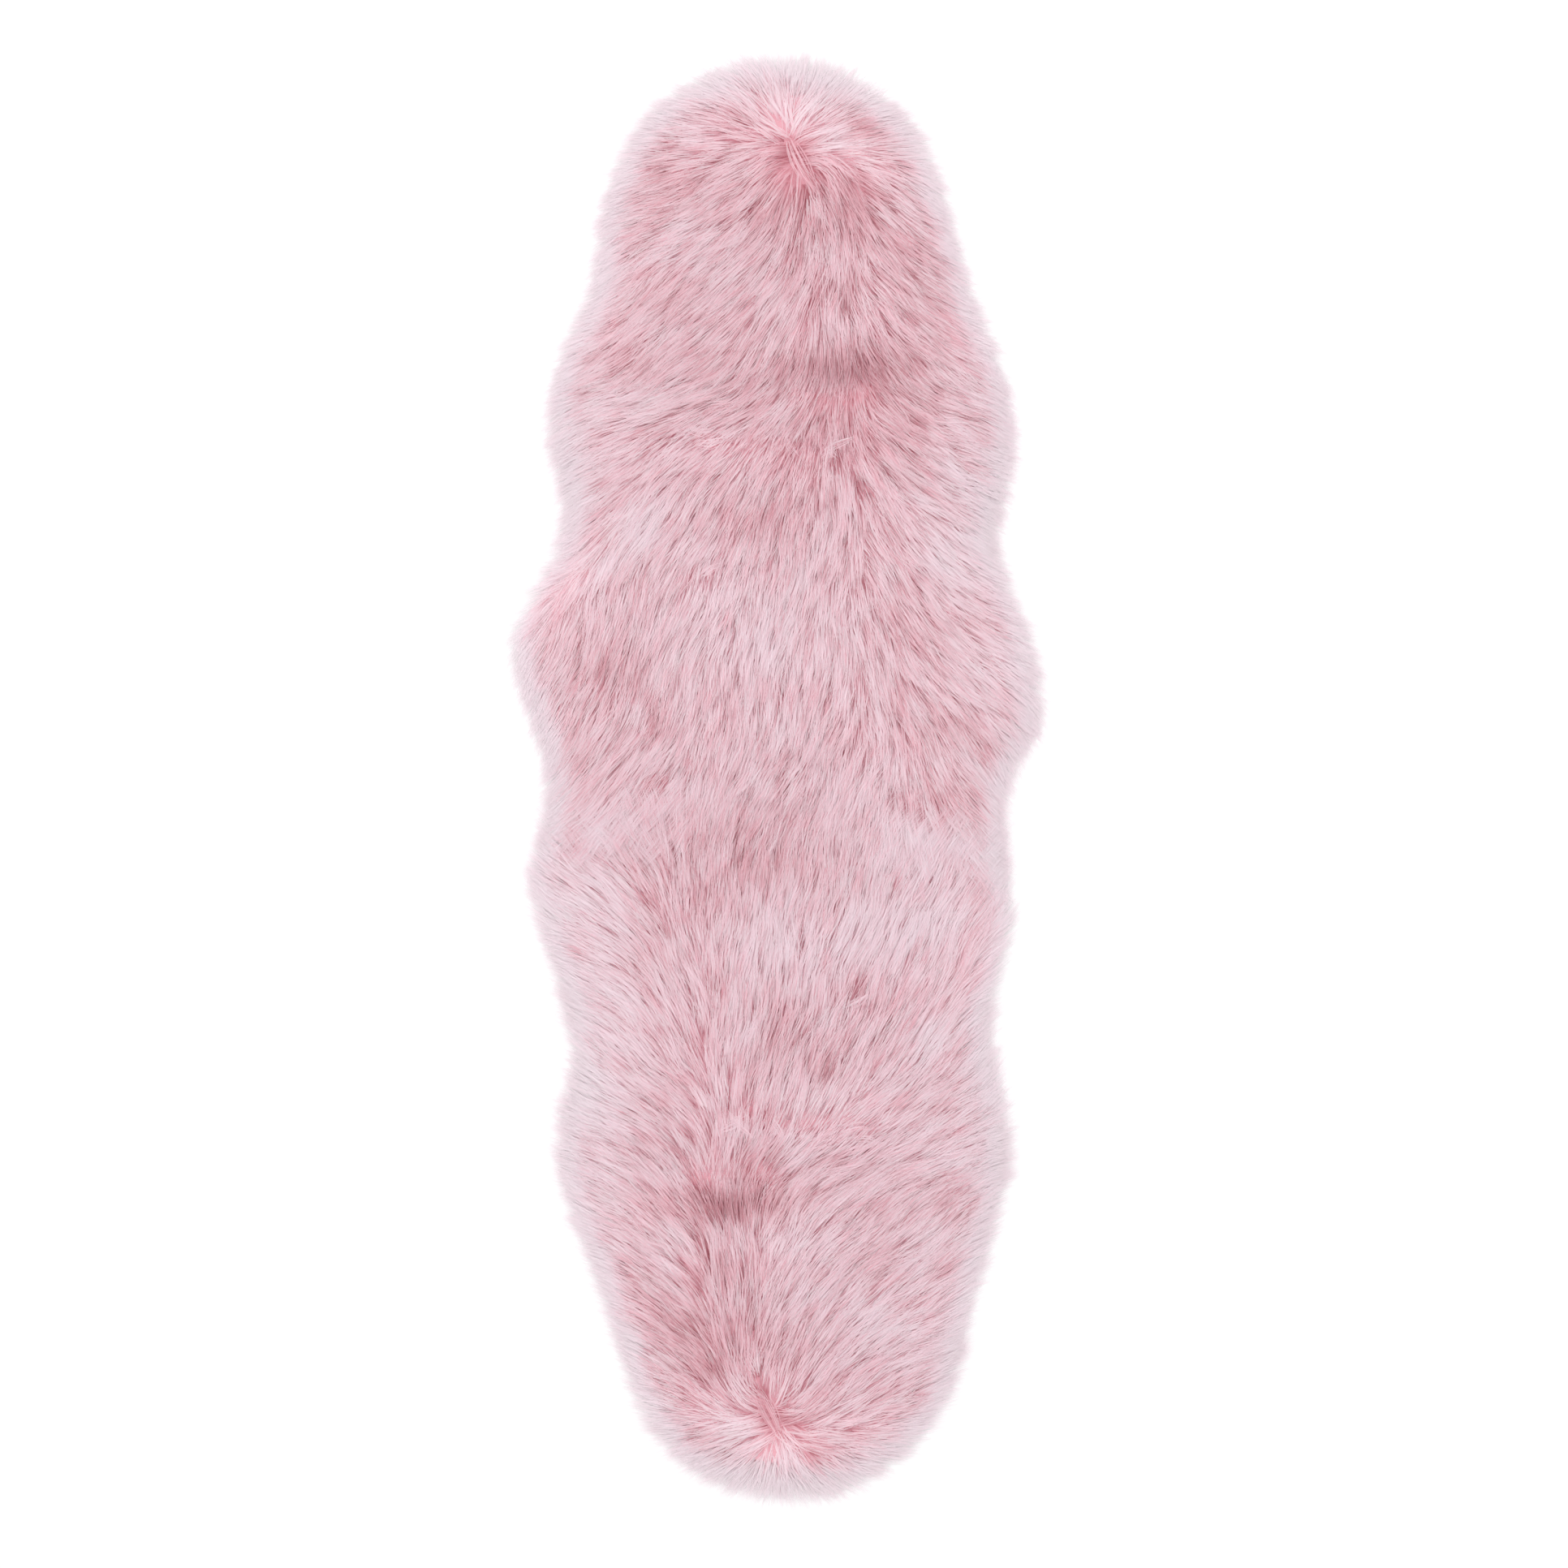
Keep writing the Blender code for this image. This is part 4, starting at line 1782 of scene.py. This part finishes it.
@dataclass
class Wool:
    """Dense wool at the foot of the pile, which shows where strands part, coloured as painted
    shade for those gaps.
    """

    lie: Lie
    finish: WoolGapShadeFinish = WoolGapShadeFinish()
    inset: float = 0.046
    underside: float = 0.0022
    share: float = 0.64
    hollow: float = 0.35
    hollow_width: float = 0.036
    rows: int = 170
    columns: int = 44

    def build(self) -> bpy.types.Object:
        """Build the wool as one closed layer on the backing.

        Returns:
            The layer.
        """
        plan = plan_rows(self.lie.outline, self.inset, self.rows, self.columns)
        flat = plan.reshape(-1, 2)
        sunk = self.hollow * self.lie.comb.near_whorl(flat, self.hollow_width)
        high = (self.share * (1.0 - sunk) * self.lie.height(flat)).reshape(plan.shape[:2])
        mesh = closed_layer("wool", plan, self.underside, high)
        mesh.polygons.foreach_set("use_smooth", np.ones(len(mesh.polygons), bool))
        layer = add_piece(mesh, self.finish.make("pink_wool_gap_shade"))
        log.info("wool: up to %.3f m high", high.max())
        return layer


@dataclass
class Backing:
    """Thin knitted sheet that the strands are rooted in."""

    outline: Outline
    finish: BackingFinish = BackingFinish()
    inset: float = 0.034
    underside: float = 0.0002
    thickness: float = 0.0018
    rows: int = 80
    columns: int = 16

    def build(self, pile: list[bpy.types.Object]) -> bpy.types.Object:
        """Args:
            pile: The pieces that are rooted in it; not used.

        Returns:
            The sheet.
        """
        plan = plan_rows(self.outline, self.inset, self.rows, self.columns)
        high = np.full(plan.shape[:2], self.underside + self.thickness)
        mesh = closed_layer("backing", plan, self.underside, high)
        sheet = add_piece(mesh, self.finish.make("knitted_backing"))
        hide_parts(NODE)
        widths = plan[:, -1, 0] - plan[:, 0, 0]
        area = float((0.5 * (widths[1:] + widths[:-1]) * np.diff(plan[:, 0, 1])).sum())
        return sheet


@dataclass
class Studio:
    """Plain pale floor, soft light and a camera straight above the rug."""

    view_centre: tuple[float, float] = (0.005, -0.006)
    view_width: float = 1.9536
    view_depth: float = 100.0
    camera_height: float = 8.0
    pile_level: float = 0.02
    sensor: float = 36.0
    floor_size: float = 30.0
    floor_finish: FloorFinish = FloorFinish()
    sky: float = 1.07
    white: Colour = (1.0, 1.0, 1.0)
    lamp_power: float = 180.0
    lamp_size: float = 6.0
    lamp_place: tuple[float, float, float] = (-1.2, 2.0, 6.4)

    def lay_floor(self) -> None:
        """Lay the floor that the rug lies on."""
        half = 0.5 * self.floor_size
        mesh = bpy.data.meshes.new("floor")
        corners = [(-half, -half, 0.0), (half, -half, 0.0), (half, half, 0.0), (-half, half, 0.0)]
        mesh.from_pydata(corners, [], [(0, 1, 2, 3)])
        add_object(mesh, self.floor_finish.make("pale_floor"))

    def light(self) -> None:
        """Light the rug by a white room and one large soft lamp, aimed at its middle."""
        world = bpy.data.worlds.new("studio")
        world.use_nodes = True
        room = world.node_tree.nodes["Background"]
        room.inputs["Color"].default_value = (*self.white, 1.0)
        room.inputs["Strength"].default_value = self.sky
        bpy.context.scene.world = world

        lamp = bpy.data.lights.new("soft_lamp", "AREA")
        lamp.shape, lamp.size = "DISK", self.lamp_size
        lamp.energy = self.lamp_power
        hung = bpy.data.objects.new("soft_lamp", lamp)
        hung.location = self.lamp_place
        aim = -np.array(self.lamp_place)
        tilt = math.atan2(math.hypot(aim[0], aim[1]), -aim[2])
        turn = math.atan2(aim[1], aim[0]) - 0.5 * math.pi
        hung.rotation_euler = (tilt, 0.0, turn)
        bpy.context.scene.collection.objects.link(hung)

    def look_down(self) -> None:
        """Put the camera straight above the rug, so that the view is view_width across."""
        camera = bpy.data.cameras.new("camera")
        camera.sensor_width = self.sensor
        reach = self.camera_height - self.pile_level
        camera.lens = self.sensor * reach / self.view_width
        camera.clip_end = self.view_depth
        eye = bpy.data.objects.new("camera", camera)
        middle = np.array(self.view_centre) + CENTRING
        eye.location = (*middle, self.camera_height)
        bpy.context.scene.collection.objects.link(eye)
        bpy.context.scene.camera = eye

    def build(self) -> None:
        """Build the floor, the light and the camera."""
        self.lay_floor()
        self.light()
        self.look_down()
        bpy.context.scene.view_settings.view_transform = "Standard"


def main() -> None:
    """Build the rug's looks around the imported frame."""
    logging.basicConfig(level=logging.INFO, format="%(message)s")
    outline = Outline()
    lie = Lie(outline, Comb(), PileTop())
    pile = FurCoat(Fur(lie, PaintedLightAndShade())).build()
    pile.append(Wool(lie).build())
    Backing(outline).build(pile)
    Studio().build()


if __name__ == "__main__":
    main()
